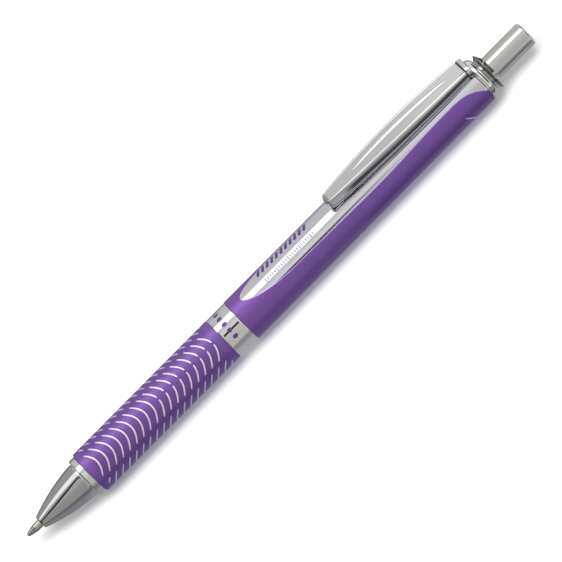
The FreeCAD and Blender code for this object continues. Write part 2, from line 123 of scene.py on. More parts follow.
def off_axis(x: float, y: float, z: float) -> Vector:
    """Point at a station, y and z millimetres off the pen's axis."""
    return Vector((station(x), y * MM, AXIS_Z + z * MM))


@dataclass(frozen=True)
class Span:
    """Ends and largest radius of one turned node of the frame, in millimetres from the tip and the axis."""

    start: float
    end: float
    radius: float

    @classmethod
    def of(cls, node: str) -> "Span":
        """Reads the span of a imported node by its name."""
        low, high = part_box(node)
        return cls((low.x - TIP_X) / MM, (high.x - TIP_X) / MM, (high.y - low.y) / 2 / MM)


def arc_through(first: Point2, middle: Point2, last: Point2) -> Callable[[float], float]:
    """Round curve through three points.

    Args:
        first: first point, as (x, height).
        middle: second point.
        last: third point.

    Returns:
        A function that gives the curve's height at x.
    """
    (ax, ay), (bx, by), (cx, cy) = first, middle, last
    cross = 2 * (ax * (by - cy) + bx * (cy - ay) + cx * (ay - by))
    a2, b2, c2 = ax * ax + ay * ay, bx * bx + by * by, cx * cx + cy * cy
    ux = (a2 * (by - cy) + b2 * (cy - ay) + c2 * (ay - by)) / cross
    uy = (a2 * (cx - bx) + b2 * (ax - cx) + c2 * (bx - ax)) / cross
    radius = math.hypot(ax - ux, ay - uy)
    side = 1 if by > uy else -1

    def height(x: float) -> float:
        """Height of the arc at x."""
        return uy + side * math.sqrt(max(radius * radius - (x - ux) ** 2, 0))

    return height


def smooth(value: float, low: float, high: float) -> float:
    """Smooth step from 0 at low to 1 at high."""
    t = min(max((value - low) / (high - low), 0), 1)
    return t * t * (3 - 2 * t)


# ------------------------------------------------------------------ meshes
@dataclass(frozen=True)
class Corner:
    """Corner of a half section: station, radius and how far it is rounded, in millimetres."""

    x: float
    r: float
    rounding: float = 0.0


def rounded(corners: Sequence[Corner], steps: int = 5) -> list[Point2]:
    """Closed half section with its corners rounded by tangent arcs.

    Args:
        corners: the corners in order round the section.
        steps: straight pieces in each rounded corner.

    Returns:
        The outline's (x, radius) points, in millimetres.
    """
    outline: list[Point2] = []
    for number, corner in enumerate(corners):
        here = Vector((corner.x, corner.r))
        if corner.rounding <= 0:
            outline.append((corner.x, corner.r))
            continue
        before, after = corners[number - 1], corners[(number + 1) % len(corners)]
        back = (Vector((before.x, before.r)) - here).normalized()
        ahead = (Vector((after.x, after.r)) - here).normalized()
        half = back.angle(ahead) / 2
        reach = corner.rounding / math.tan(half)
        centre = here + (back + ahead).normalized() * (corner.rounding / math.sin(half))
        start, end = here + back * reach - centre, here + ahead * reach - centre
        sweep = math.atan2(start.cross(end), start.dot(end))
        for step in range(steps + 1):
            turn = sweep * step / steps
            c, s = math.cos(turn), math.sin(turn)
            outline.append((centre.x + start.x * c - start.y * s, centre.y + start.x * s + start.y * c))
    return outline


def linked(name: str, data: bpy.types.ID) -> bpy.types.Object:
    """Puts a mesh, a lamp or a camera into the scene as an object."""
    made = bpy.data.objects.new(name, data)
    bpy.context.scene.collection.objects.link(made)
    return made


def mesh_object(name: str, bm: bmesh.types.BMesh, merge: float = 1e-8) -> bpy.types.Object:
    """Turns an edit mesh into a linked object with clean outward normals.

    Args:
        name: name of the piece.
        bm: the edit mesh, which is freed.
        merge: distance within which vertices are joined, in metres.

    Returns:
        The new object, at the origin.
    """
    bmesh.ops.remove_doubles(bm, verts=bm.verts, dist=merge)
    bmesh.ops.dissolve_degenerate(bm, edges=bm.edges, dist=merge)
    bmesh.ops.recalc_face_normals(bm, faces=bm.faces)
    mesh = bpy.data.meshes.new(name)
    bm.to_mesh(mesh)
    bm.free()
    mesh.shade_smooth()
    mesh.set_sharp_from_angle(angle=SHARP_ANGLE)
    return linked(name, mesh)


def bridge(bm: bmesh.types.BMesh, first: list, second: list) -> None:
    """Joins two closed rings of vertices with faces.

    Args:
        bm: the edit mesh.
        first: one ring, or a single pole vertex.
        second: the next ring, or a single pole vertex.
    """
    count = max(len(first), len(second))
    if count == 1:
        return
    for k in range(count):
        after = (k + 1) % count
        loop = [first[k % len(first)], first[after % len(first)],
                second[after % len(second)], second[k % len(second)]]
        bm.faces.new(list(dict.fromkeys(loop)))


def supported(outline: Sequence[Point2], reach: float = 0.05, longest: float = 0.4) -> list[Point2]:
    """Adds a point close to each end of every long straight, so that its shading stays straight.

    Args:
        outline: closed half section.
        reach: distance of an added point from the corner, in millimetres.
        longest: length above which a straight is held, in millimetres.

    Returns:
        The outline with its added points.
    """
    held: list[Point2] = []
    for (x, r), (next_x, next_r) in zip(outline, list(outline[1:]) + [outline[0]]):
        held.append((x, r))
        length = math.hypot(next_x - x, next_r - r)
        if length > longest:
            for share in (reach / length, 0.5, 1 - reach / length):
                held.append((x + (next_x - x) * share, r + (next_r - r) * share))
    return held


def turned(name: str, outline: Sequence[Point2], sides: int = SIDES) -> bpy.types.Object:
    """Solid of revolution round the pen's axis from a closed half section.

    Args:
        name: name of the piece.
        outline: (x, radius) points in order, in millimetres; a radius of 0 makes a pole.
        sides: faces round the axis.

    Returns:
        The closed, smooth object.
    """
    bm = bmesh.new()
    rings = []
    for x, radius in supported(outline):
        if radius < TINY:
            rings.append([bm.verts.new(on_surface(x, 0, 0))])
        else:
            rings.append([bm.verts.new(on_surface(x, radius, 2 * math.pi * k / sides)) for k in range(sides)])
    for first, second in zip(rings, rings[1:] + rings[:1]):
        bridge(bm, first, second)
    return mesh_object(name, bm)


def lofted(name: str, sections: Sequence[Sequence[Vector]], rim: int) -> bpy.types.Object:
    """Channel-like solid through closed sections of equal count, capped at both ends.

    Args:
        name: name of the piece.
        sections: the sections in order, each a loop of points that runs out along the outer
            side and back along the inner side.
        rim: points on each section's outer side, which is half of the loop.

    Returns:
        The closed, smooth object.
    """
    bm = bmesh.new()
    rings = [[bm.verts.new(point) for point in section] for section in sections]
    for first, second in zip(rings, rings[1:]):
        bridge(bm, first, second)
    for ring in (rings[0], rings[-1]):
        inner = list(reversed(ring[rim:]))
        for k in range(rim - 1):
            bm.faces.new([ring[k], ring[k + 1], inner[k + 1], inner[k]])
    return mesh_object(name, bm)


def stacked(name: str, sections: Sequence[Sequence[Vector]]) -> bpy.types.Object:
    """Solid through closed loops of equal count, with a flat face on the first and the last.

    Args:
        name: name of the piece.
        sections: the loops in order.

    Returns:
        The closed, smooth object.
    """
    bm = bmesh.new()
    rings = [[bm.verts.new(point) for point in section] for section in sections]
    for first, second in zip(rings, rings[1:]):
        bridge(bm, first, second)
    bm.faces.new(rings[0])
    bm.faces.new(rings[-1])
    return mesh_object(name, bm)


# ------------------------------------------------------------------ node wiring
class Wiring:
    """Short hand for adding nodes to one tree and joining them."""

    def __init__(self, tree: bpy.types.NodeTree) -> None:
        """Starts on a tree whose nodes the caller owns."""
        self.tree = tree

    def node(self, kind: str, feeds: dict[Union[str, int], object] | None = None,
             **settings: object) -> bpy.types.Node:
        """Adds a node.

        Args:
            kind: the node's type.
            feeds: input names or numbers with the values or sockets that feed them.
            settings: properties of the node.

        Returns:
            The new node.
        """
        made = self.tree.nodes.new(kind)
        for name, value in settings.items():
            setattr(made, name, value)
        for name, value in (feeds or {}).items():
            self.feed(made.inputs[name], value)
        return made

    def feed(self, socket: bpy.types.NodeSocket, value: object) -> None:
        """Joins a socket to another, or sets its value."""
        if isinstance(value, bpy.types.NodeSocket):
            self.tree.links.new(value, socket)
        elif value is not None:
            socket.default_value = value

    def math(self, operation: str, *values: Feed) -> bpy.types.NodeSocket:
        """Adds a Math node and returns its result."""
        feeds = dict(enumerate(values))
        return self.node("ShaderNodeMath", feeds, operation=operation).outputs[0]

    def times(self, first: Feed, second: Feed) -> bpy.types.NodeSocket:
        """Product of two values."""
        return self.math("MULTIPLY", first, second)

    def plus(self, first: Feed, second: Feed) -> bpy.types.NodeSocket:
        """Sum of two values."""
        return self.math("ADD", first, second)

    def minus(self, first: Feed, second: Feed) -> bpy.types.NodeSocket:
        """Difference of two values."""
        return self.math("SUBTRACT", first, second)

    def mixed(self, share: Feed, first: object, second: object, kind: str = "RGBA",
              blend: str = "MIX") -> bpy.types.NodeSocket:
        """Mixes two colours or values.

        Args:
            share: 0 for the first, 1 for the second.
            first: first colour or value.
            second: second colour or value.
            kind: RGBA or FLOAT.
            blend: blend type of a colour mix.

        Returns:
            The mixed socket.
        """
        made = self.tree.nodes.new("ShaderNodeMix")
        made.data_type = kind
        if kind == "RGBA":
            made.blend_type = blend
        number = {"FLOAT": (2, 3, 0), "RGBA": (6, 7, 2)}[kind]
        self.feed(made.inputs[0], share)
        self.feed(made.inputs[number[0]], first)
        self.feed(made.inputs[number[1]], second)
        return made.outputs[number[2]]

    def mapped(self, value: Feed, low: float, high: float, out_low: Feed,
               out_high: Feed) -> bpy.types.NodeSocket:
        """Maps a value from one range to another, clamped."""
        feeds = {"Value": value, "From Min": low, "From Max": high, "To Min": out_low, "To Max": out_high}
        return self.node("ShaderNodeMapRange", feeds).outputs["Result"]


def shared_group(name: str, inputs: dict[str, float], outputs: dict[str, str],
                 build: Callable[[Wiring, dict, object], None]) -> bpy.types.NodeTree:
    """Shader node group that is built once and placed in many materials.

    Args:
        name: name of the group.
        inputs: input names with their usual values.
        outputs: output names with their socket types.
        build: function that fills the group, given its wiring, its input sockets and its output node.

    Returns:
        The group's tree.
    """
    known = bpy.data.node_groups.get(name)
    if known:
        return known
    tree = bpy.data.node_groups.new(name, "ShaderNodeTree")
    for label, usual in inputs.items():
        socket = tree.interface.new_socket(label, in_out="INPUT", socket_type="NodeSocketFloat")
        socket.default_value = usual
    for label, kind in outputs.items():
        tree.interface.new_socket(label, in_out="OUTPUT", socket_type=kind)
    wiring = Wiring(tree)
    entry = wiring.node("NodeGroupInput")
    leave = wiring.node("NodeGroupOutput")
    build(wiring, {label: entry.outputs[label] for label in inputs}, leave)
    return tree


def round_the_axis(wiring: Wiring) -> tuple[bpy.types.NodeSocket, bpy.types.NodeSocket, bpy.types.NodeSocket]:
    """Object coordinates as seen along the pen's axis.

    Args:
        wiring: the tree that needs them.

    Returns:
        Sockets for the station in metres, the angle in radians, and the raw coordinates.
    """
    place = wiring.node("ShaderNodeTexCoord").outputs["Object"]
    parts = wiring.node("ShaderNodeSeparateXYZ", {0: place})
    along = wiring.minus(parts.outputs["X"], TIP_X)
    height = wiring.minus(parts.outputs["Z"], AXIS_Z)
    angle = wiring.math("ARCTAN2", wiring.times(parts.outputs["Y"], -1.0), height)
    return along, angle, place


def fill_handling(wiring: Wiring, given: dict, leave: bpy.types.Node) -> None:
    """Fills the group of marks that handling leaves: smears in the gloss and fine scratches.

    Args:
        wiring: the group's wiring.
        given: its input sockets.
        leave: its output node.
    """
    place = wiring.node("ShaderNodeTexCoord").outputs["Object"]
    smear = wiring.node("ShaderNodeTexNoise", {"Vector": place, "Scale": given["Smear Scale"], "Detail": 3.0,
                                               "Roughness": 0.55}).outputs[0]
    stretched = wiring.node("ShaderNodeMapping", {"Vector": place, "Rotation": (0.3, 0.5, 0.9),
                                                  "Scale": (1.0, 14.0, 14.0)}).outputs[0]
    hair = wiring.node("ShaderNodeTexNoise", {"Vector": stretched, "Scale": given["Scratch Scale"],
                                              "Detail": 5.0, "Roughness": 0.7}).outputs[0]
    scratch = wiring.mapped(hair, 0.62, 0.7, 0.0, 1.0)
    swing = wiring.times(wiring.minus(smear, 0.5), given["Smear"])
    worn = wiring.math("MULTIPLY_ADD", scratch, given["Scratches"], swing)
    rough = wiring.plus(given["Roughness"], worn)
    wiring.feed(leave.inputs["Roughness"], wiring.node("ShaderNodeClamp", {"Value": rough}).outputs[0])
    wiring.feed(leave.inputs["Height"], wiring.times(scratch, -1.0))
    wiring.feed(leave.inputs["Smear"], smear)


def handling_group() -> bpy.types.NodeTree:
    """Group of smears and scratches that every hard surface uses."""
    return shared_group(
        "handling marks",
        {"Roughness": 0.2, "Smear": 0.08, "Smear Scale": 220.0, "Scratches": 0.05, "Scratch Scale": 260.0},
        {"Roughness": "NodeSocketFloat", "Height": "NodeSocketFloat", "Smear": "NodeSocketFloat"},
        fill_handling)


def fill_grain(wiring: Wiring, given: dict, leave: bpy.types.Node) -> None:
    """Fills the group of fine lines that turning, drawing or polishing leaves in metal.

    Args:
        wiring: the group's wiring.
        given: its input sockets.
        leave: its output node.
    """
    along, angle, _ = round_the_axis(wiring)
    spot = wiring.node("ShaderNodeCombineXYZ", {
        "X": wiring.times(along, given["Lines Across"]),
        "Y": wiring.times(wiring.math("SINE", angle), given["Lines Round"]),
        "Z": wiring.times(wiring.math("COSINE", angle), given["Lines Round"])}).outputs[0]
    noise = wiring.node("ShaderNodeTexNoise", {"Vector": spot, "Scale": 1.0, "Detail": 4.0,
                                               "Roughness": 0.6}).outputs[0]
    wiring.feed(leave.inputs["Height"], noise)


def grain_group() -> bpy.types.NodeTree:
    """Group of fine tool lines, across or along the pen."""
    return shared_group("tool grain", {"Lines Across": 9000.0, "Lines Round": 3.0},
                        {"Height": "NodeSocketFloat"}, fill_grain)


# ------------------------------------------------------------------ finishes
@dataclass(frozen=True)
class Finish:
    """What every finish has: a name, a colour, a gloss and how much handling shows."""

    name: str
    colour: Colour
    roughness: float
    smear: float = 0.08
    scratches: float = 0.05
    bump: float = 1.5e-6

    def material(self) -> bpy.types.Material:
        """The finish as a material, made once.

        Returns:
            The material.
        """
        known = bpy.data.materials.get(self.name)
        if known:
            return known
        made = bpy.data.materials.new(self.name)
        made.use_nodes = True
        made.node_tree.nodes.clear()
        wiring = Wiring(made.node_tree)
        shader = wiring.node("ShaderNodeBsdfPrincipled")
        wiring.node("ShaderNodeOutputMaterial", {"Surface": shader.outputs[0]})
        marks = wiring.node("ShaderNodeGroup", node_tree=handling_group())
        for label, value in (("Roughness", self.roughness), ("Smear", self.smear),
                             ("Scratches", self.scratches)):
            marks.inputs[label].default_value = value
        wiring.feed(shader.inputs["Roughness"], marks.outputs["Roughness"])
        self.dress(wiring, shader, marks)
        return made

    def dress(self, wiring: Wiring, shader: bpy.types.Node, marks: bpy.types.Node) -> None:
        """Adds what is particular to the finish; each kind of finish has its own."""
        raise NotImplementedError

    def raised(self, wiring: Wiring, shader: bpy.types.Node, height: Feed, depth: float,
               under: Feed | None = None) -> bpy.types.NodeSocket:
        """Adds a Bump node to the shader.

        Args:
            wiring: the material's wiring.
            shader: the Principled node.
            height: height socket from 0 to 1.
            depth: depth of the relief in metres.
            under: normal that the relief lies on.

        Returns:
            The normal that now feeds the shader.
        """
        feeds = {"Height": height, "Distance": depth, "Strength": 1.0}
        bump = wiring.node("ShaderNodeBump", feeds)
        if under is not None:
            wiring.feed(bump.inputs["Normal"], under)
        wiring.feed(shader.inputs["Normal"], bump.outputs[0])
        return bump.outputs[0]


@dataclass(frozen=True)
class Metal(Finish):
    """Bare or plated metal, with the grain that its making leaves."""

    metallic: float = 1.0
    lines_across: float = 9000.0
    lines_round: float = 3.0
    grain: float = 0.6e-6
    tone: float = 0.04

    def dress(self, wiring: Wiring, shader: bpy.types.Node, marks: bpy.types.Node) -> None:
        """Sets a metal's colour, which varies a little, and its grain.

        Args:
            wiring: the material's wiring.
            shader: its Principled node.
            marks: its handling marks.
        """
        shader.inputs["Metallic"].default_value = self.metallic
        grain = wiring.node("ShaderNodeGroup", node_tree=grain_group())
        grain.inputs["Lines Across"].default_value = self.lines_across
        grain.inputs["Lines Round"].default_value = self.lines_round
        darker = tuple(value * (1 - 2.5 * self.tone) for value in self.colour) + (1.0,)
        share = wiring.mixed(0.5, marks.outputs["Smear"], grain.outputs["Height"], "FLOAT")
        toned = wiring.mixed(share, darker, self.colour + (1.0,))
        wiring.feed(shader.inputs["Base Color"], toned)
        lines = self.raised(wiring, shader, grain.outputs["Height"], self.grain)
        self.raised(wiring, shader, marks.outputs["Height"], self.bump, lines)


@dataclass(frozen=True)
class Lacquer(Finish):
    """Tinted pearl lacquer over metal, satin under a thin clear coat."""

    deep: Colour = (0.05, 0.015, 0.15)
    metallic: float = 0.72
    coat: float = 1.0
    coat_roughness: float = 0.3
    sheer: float = 0.9
    edge_tint: Colour = (0.34, 0.25, 0.56)
    flake_scale: float = 14000.0
    engraved: bool = False
    pitch: float = 1.91
    swing: float = 2.05
    crest: float = 0.52
    field_start: float = 18.9
    field_end: float = 53.2
    lines: int = 4

    def dress(self, wiring: Wiring, shader: bpy.types.Node, marks: bpy.types.Node) -> None:
        """Sets the pearl: fine flakes in the colour, a coat above, and engraved hairlines on the grip.

        Args:
            wiring: the material's wiring.
            shader: its Principled node.
            marks: its handling marks.
        """
        shader.inputs["Metallic"].default_value = self.metallic
        shader.inputs["Coat Weight"].default_value = self.coat
        shader.inputs["Coat Roughness"].default_value = self.coat_roughness
        shader.inputs["Specular IOR Level"].default_value = self.sheer
        shader.inputs["Specular Tint"].default_value = self.edge_tint + (1.0,)
        place = wiring.node("ShaderNodeTexCoord").outputs["Object"]
        flake = wiring.node("ShaderNodeTexVoronoi", {"Vector": place, "Scale": self.flake_scale})
        glint = wiring.node("ShaderNodeSeparateColor", {0: flake.outputs["Color"]}).outputs[0]
        cloud = wiring.mapped(marks.outputs["Smear"], 0.3, 0.7, 0.0, 0.07)
        share = wiring.math("MULTIPLY_ADD", glint, 0.3, cloud)
        base = wiring.mixed(share, self.colour + (1.0,), self.deep + (1.0,))
        if self.engraved:
            hairline = self.hairlines(wiring)
            base = wiring.mixed(wiring.times(hairline, 0.3), base, self.deep + (1.0,))
            cut = self.raised(wiring, shader, hairline, -14e-6)
            self.raised(wiring, shader, marks.outputs["Height"], self.bump, cut)
        else:
            self.raised(wiring, shader, marks.outputs["Height"], self.bump)
        wiring.feed(shader.inputs["Base Color"], base)

    def hairlines(self, wiring: Wiring) -> bpy.types.NodeSocket:
        """Fine engraved lines that run with the waves of the grip.

        Args:
            wiring: the material's wiring.

        Returns:
            A mask that is 1 on a line.
        """
        along, angle, _ = round_the_axis(wiring)
        turn = wiring.times(wiring.minus(angle, self.crest), 2.0)
        wave = wiring.times(wiring.math("COSINE", turn), self.swing * MM)
        phase = wiring.math("DIVIDE", wiring.minus(along, wave), self.pitch * MM / self.lines)
        share = wiring.math("PINGPONG", phase, 0.5)
        line = wiring.mapped(share, 0.13, 0.3, 1.0, 0.0)
        fade = 0.1
        begun = wiring.mapped(along, self.field_start * MM, (self.field_start + fade) * MM, 0.0, 1.0)
        going = wiring.mapped(along, (self.field_end - fade) * MM, self.field_end * MM, 1.0, 0.0)
        inside = wiring.times(begun, going)
        return wiring.times(line, inside)


@dataclass(frozen=True)
class Moulded(Finish):
    """Moulded plastic with a faint flow pattern."""

    transmission: float = 0.0
    ior: float = 1.5
    specular: float = 0.5

    def dress(self, wiring: Wiring, shader: bpy.types.Node, marks: bpy.types.Node) -> None:
        """Sets a plastic's colour with the cloudy flow of its moulding.

        Args:
            wiring: the material's wiring.
            shader: its Principled node.
            marks: its handling marks.
        """
        shader.inputs["IOR"].default_value = self.ior
        shader.inputs["Transmission Weight"].default_value = self.transmission
        shader.inputs["Specular IOR Level"].default_value = self.specular
        deeper = tuple(value * 0.82 for value in self.colour) + (1.0,)
        clouded = wiring.mixed(marks.outputs["Smear"], deeper, self.colour + (1.0,))
        wiring.feed(shader.inputs["Base Color"], clouded)
        self.raised(wiring, shader, marks.outputs["Height"], self.bump)


class Finishes:
    """Every finish of the pen, by the place it is used."""

    barrel_lacquer = Lacquer("barrel lacquer", (0.27, 0.115, 0.51), 0.4, 0.05, 0.03)
    # Lighter lacquer for the bevel round the panel: the bevel catches real light, and its lighter colour adds
    # a painted highlight.
    lacquer_edge_highlight = Lacquer("lacquer edge highlight", (0.66, 0.48, 0.86), 0.26, 0.05, 0.02, deep=(0.45, 0.3, 0.7))
    grip_lacquer = Lacquer("grip lacquer", (0.27, 0.115, 0.51), 0.4, 0.07, 0.05, engraved=True)
    mark_lacquer = Lacquer("mark lacquer", (0.16, 0.06, 0.33), 0.3, 0.05, 0.02, deep=(0.06, 0.02, 0.15))
    chrome = Metal("chrome plate", (0.86, 0.86, 0.85), 0.035, 0.02, 0.03, 0.15e-6, grain=0.06e-6, tone=0.01)
    etched = Metal("etched silver", (0.95, 0.89, 0.98), 0.36, 0.08, 0.05, metallic=0.5)
    bare = Metal("bare bright metal", (0.88, 0.87, 0.9), 0.06, 0.03, 0.04, 0.3e-6, lines_across=2.0,
                 lines_round=900.0, grain=0.1e-6, tone=0.015)
    # Near-black finish that paints in shade inside the clip's gaps and seams.
    gap = Metal("painted gap shade", (0.1, 0.1, 0.105), 0.42, 0.08, 0.02)
    # Darker finish that paints in shade on the crown ring's front slope.
    recess = Metal("painted recess shade", (0.27, 0.27, 0.29), 0.27, 0.08, 0.02)
    button = Metal("button steel", (0.76, 0.75, 0.71), 0.2, 0.06, 0.05, lines_across=12000.0, grain=0.8e-6)
    spring = Metal("spring steel", (0.56, 0.55, 0.53), 0.3)
    brass = Metal("turned brass", (0.83, 0.61, 0.28), 0.24)
    point = Metal("nickel silver", (0.72, 0.67, 0.6), 0.2, 0.06, 0.04)
    carbide = Metal("carbide", (0.5, 0.5, 0.52), 0.12)
    liner = Moulded("liner plastic", (0.05, 0.05, 0.055), 0.5)
    cam = Moulded("cam plastic", (0.82, 0.82, 0.79), 0.38)
    tube = Moulded("ink tube plastic", (0.9, 0.92, 0.93), 0.2, transmission=0.85)
    holder = Moulded("holder plastic", (0.09, 0.05, 0.2), 0.35)
    ink = Moulded("violet ink", (0.05, 0.01, 0.16), 0.12)
    grease = Moulded("clear grease", (0.85, 0.83, 0.72), 0.15, transmission=0.6)


# ------------------------------------------------------------------ wrapped marks
@dataclass(frozen=True)
class Mark:
    """One raised mark on a round surface: its station, and the angles where it starts and ends."""

    x: float
    start: float
    end: float


@dataclass(frozen=True)
class MarkStyle:
    """Shape that a set of marks shares, in millimetres and radians.

    The centre line of a mark is x + swing * cos(2 * (angle - crest)) + slope * (angle - its middle).
    """

    width: float
    height: float
    radius: float
    taper: float = 0.0
    taper_from: float = 0.0
    swing: float = 0.0
    crest: float = 0.0
    slope: float = 0.0
    end_power: float = 24.0
    steps: int = 25


def mark_tree() -> bpy.types.NodeTree:
    """Geometry tree that lays lens-shaped marks on a round surface, one for each seed point.

    Returns:
        The tree, built once.
    """
    name = "wrapped marks"
    known = bpy.data.node_groups.get(name)
    if known:
        return known
    tree = bpy.data.node_groups.new(name, "GeometryNodeTree")
    tree.interface.new_socket("Geometry", in_out="INPUT", socket_type="NodeSocketGeometry")
    for label in ("Width", "Height", "Radius", "Taper", "Taper From", "Swing", "Crest", "Slope", "End Power",
                  "Axis Height", "Sink"):
        tree.interface.new_socket(label, in_out="INPUT", socket_type="NodeSocketFloat")
    tree.interface.new_socket("Steps", in_out="INPUT", socket_type="NodeSocketInt")
    tree.interface.new_socket("Material", in_out="INPUT", socket_type="NodeSocketMaterial")
    tree.interface.new_socket("Geometry", in_out="OUTPUT", socket_type="NodeSocketGeometry")
    w = Wiring(tree)
    given = w.node("NodeGroupInput").outputs
    grid = w.node("GeometryNodeMeshGrid", {"Size X": 1.0, "Size Y": 2.0, "Vertices X": given["Steps"],
                                           "Vertices Y": 5}).outputs[0]
    local = w.node("ShaderNodeSeparateXYZ", {0: w.node("GeometryNodeInputPosition").outputs[0]})
    share = w.plus(local.outputs["X"], 0.5)
    for label, value in (("share", share), ("across", local.outputs["Y"])):
        grid = w.node("GeometryNodeStoreNamedAttribute", {"Geometry": grid, "Name": label, "Value": value},
                      data_type="FLOAT", domain="POINT").outputs[0]
    spread = w.node("GeometryNodeInstanceOnPoints", {"Points": given["Geometry"],
                                                     "Instance": grid}).outputs[0]
    sheet = w.node("GeometryNodeRealizeInstances", {0: spread}).outputs[0]

    def named(label: str) -> bpy.types.NodeSocket:
        """Reads a float attribute by its name."""
        return w.node("GeometryNodeInputNamedAttribute", {"Name": label}, data_type="FLOAT").outputs[0]

    start, end, across = named("start"), named("end"), named("across")
    along = named("share")
    angle = w.math("MULTIPLY_ADD", along, w.minus(end, start), start)
    middle = w.times(w.plus(start, end), 0.5)
    turn = w.times(w.minus(angle, given["Crest"]), 2.0)
    wave = w.times(w.math("COSINE", turn), given["Swing"])
    lean = w.times(w.minus(angle, middle), given["Slope"])
    centre = w.plus(w.plus(named("place"), wave), lean)
    steep = w.times(w.times(w.math("SINE", turn), given["Swing"]), -2.0)
    steep = w.plus(steep, given["Slope"])
    radius = w.math("MULTIPLY_ADD", w.minus(centre, given["Taper From"]),
                    w.times(given["Taper"], -1.0), given["Radius"])
    length = w.math("SQRT", w.math("MULTIPLY_ADD", steep, steep, w.times(radius, radius)))
    from_middle = w.math("ABSOLUTE", w.math("MULTIPLY_ADD", along, 2.0, -1.0))
    closing = w.minus(1.0, w.math("POWER", from_middle, given["End Power"]))
    cap = w.math("SQRT", w.math("MAXIMUM", closing, 0.0))
    aside = w.times(w.times(across, cap), w.times(given["Width"], 0.5))
    x = w.math("MULTIPLY_ADD", w.math("DIVIDE", radius, length), aside, centre)
    shift = w.math("DIVIDE", w.times(w.math("DIVIDE", steep, length), aside), radius)
    turned_angle = w.minus(angle, shift)
    low = w.minus(radius, given["Sink"])
    crown = w.minus(1.0, w.math("POWER", w.math("ABSOLUTE", across), 4.0))
    rise = w.times(w.plus(given["Height"], given["Sink"]), w.times(crown, cap))
    sheets = []
    for lift in (w.plus(low, rise), low):
        y = w.times(w.times(lift, w.math("SINE", turned_angle)), -1.0)
        z = w.math("MULTIPLY_ADD", lift, w.math("COSINE", turned_angle), given["Axis Height"])
        spot = w.node("ShaderNodeCombineXYZ", {"X": x, "Y": y, "Z": z}).outputs[0]
        sheets.append(w.node("GeometryNodeSetPosition", {"Geometry": sheet, "Position": spot}).outputs[0])
    under = w.node("GeometryNodeFlipFaces", {0: sheets[1]}).outputs[0]
    both = w.node("GeometryNodeJoinGeometry")
    w.feed(both.inputs[0], sheets[0])
    w.feed(both.inputs[0], under)
    closed = w.node("GeometryNodeMergeByDistance", {"Geometry": both.outputs[0], "Distance": 1e-7}).outputs[0]
    real = w.node("GeometryNodeRealizeInstances", {0: closed}).outputs[0]
    coated = w.node("GeometryNodeSetMaterial", {"Geometry": real, "Material": given["Material"]}).outputs[0]
    w.node("NodeGroupOutput", {0: coated})
    return tree


def wrapped_marks(name: str, marks: Sequence[Mark], style: MarkStyle, finish: Finish) -> bpy.types.Object:
    """Makes a set of raised marks as one plain mesh.

    Args:
        name: name of the piece.
        marks: where the marks lie.
        style: the shape that they share.
        finish: their finish.

    Returns:
        The object, its modifier already applied and removed.
    """
    seeds = bpy.data.meshes.new(name + " seeds")
    seeds.from_pydata([on_surface(mark.x, style.radius, mark.start) for mark in marks], [], [])
    for label, values in (("place", [station(mark.x) for mark in marks]),
                          ("start", [mark.start for mark in marks]), ("end", [mark.end for mark in marks])):
        seeds.attributes.new(label, "FLOAT", "POINT").data.foreach_set("value", values)
    made = linked(name, seeds)
    tree = mark_tree()
    modifier = made.modifiers.new("marks", "NODES")
    modifier.node_group = tree
    values = {"Width": style.width * MM, "Height": style.height * MM, "Radius": style.radius * MM,
              "Taper": style.taper, "Taper From": station(style.taper_from), "Swing": style.swing * MM,
              "Crest": style.crest, "Slope": style.slope * MM, "End Power": style.end_power,
              "Axis Height": AXIS_Z, "Sink": 0.01 * MM, "Steps": style.steps, "Material": finish.material()}
    for item in tree.interface.items_tree:
        if item.item_type == "SOCKET" and item.in_out == "INPUT" and item.name in values:
            modifier[item.identifier] = values[item.name]
    shown = made.evaluated_get(bpy.context.evaluated_depsgraph_get())
    mesh = bpy.data.meshes.new_from_object(shown)
    made.modifiers.clear()
    for label in ("share", "across", "place", "start", "end"):
        if mesh.attributes.get(label):
            mesh.attributes.remove(mesh.attributes[label])
    mesh.name = name
    mesh.shade_smooth()
    made.data = mesh
    bpy.data.meshes.remove(seeds)
    if not mesh.materials:
        mesh.materials.append(finish.material())
    return made


# ------------------------------------------------------------------ assembly
@dataclass
class SubAssembly:
    """Part of the pen that makes its own pieces and reports each."""

    made: list[str] = field(default_factory=list, init=False)

    def place(self, piece: bpy.types.Object, body: Body, slot: Slot, finish: Finish | None = None,
              replaces: Iterable[str] = ()) -> bpy.types.Object:
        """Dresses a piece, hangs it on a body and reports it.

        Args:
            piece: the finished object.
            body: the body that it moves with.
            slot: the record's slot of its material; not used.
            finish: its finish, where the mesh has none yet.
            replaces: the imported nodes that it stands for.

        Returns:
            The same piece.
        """
        if finish is not None:
            piece.data.materials.clear()
            piece.data.materials.append(finish.material())
        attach(piece, body.value)
        names = list(replaces)
        if names:
            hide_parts(*names)
        self.made.append(piece.name)
        faces = len(piece.data.polygons)
        log.info("%s: %s on %s, %d faces", type(self).__name__, piece.name, body.value, faces)
        return piece

    def shade_gaps(self, made: bpy.types.Object, shaded: Callable[[float, float, float, Vector], bool],
                   painted_shade: Finish | None = None) -> None:
        """Gives a chrome piece its two finishes: bright chrome, and a dark finish painted in as shade inside
        its gaps.

        Args:
            made: the piece.
            shaded: tells from a face's station, y, z and normal whether it gets the painted shade.
            painted_shade: the finish inside the gaps, where it isn't the usual one.
        """
        made.data.materials.clear()
        made.data.materials.append(Finishes.chrome.material())
        made.data.materials.append((painted_shade or Finishes.gap).material())
        for face in made.data.polygons:
            x, y, z = face.center
            face.material_index = int(shaded((x - TIP_X) / MM, y / MM, (z - AXIS_Z) / MM, face.normal))

    def keep(self, node: str, finish: Finish) -> None:
        """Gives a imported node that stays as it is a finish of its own.

        Args:
            node: name of the node.
            finish: its finish.
        """
        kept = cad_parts[node]
        if not kept.material_slots:
            kept.data.materials.append(finish.material())
        for holder in kept.material_slots:
            holder.material = finish.material()
        self.made.append(node)
        log.info("%s: %s kept, in %s", type(self).__name__, node, finish.name)


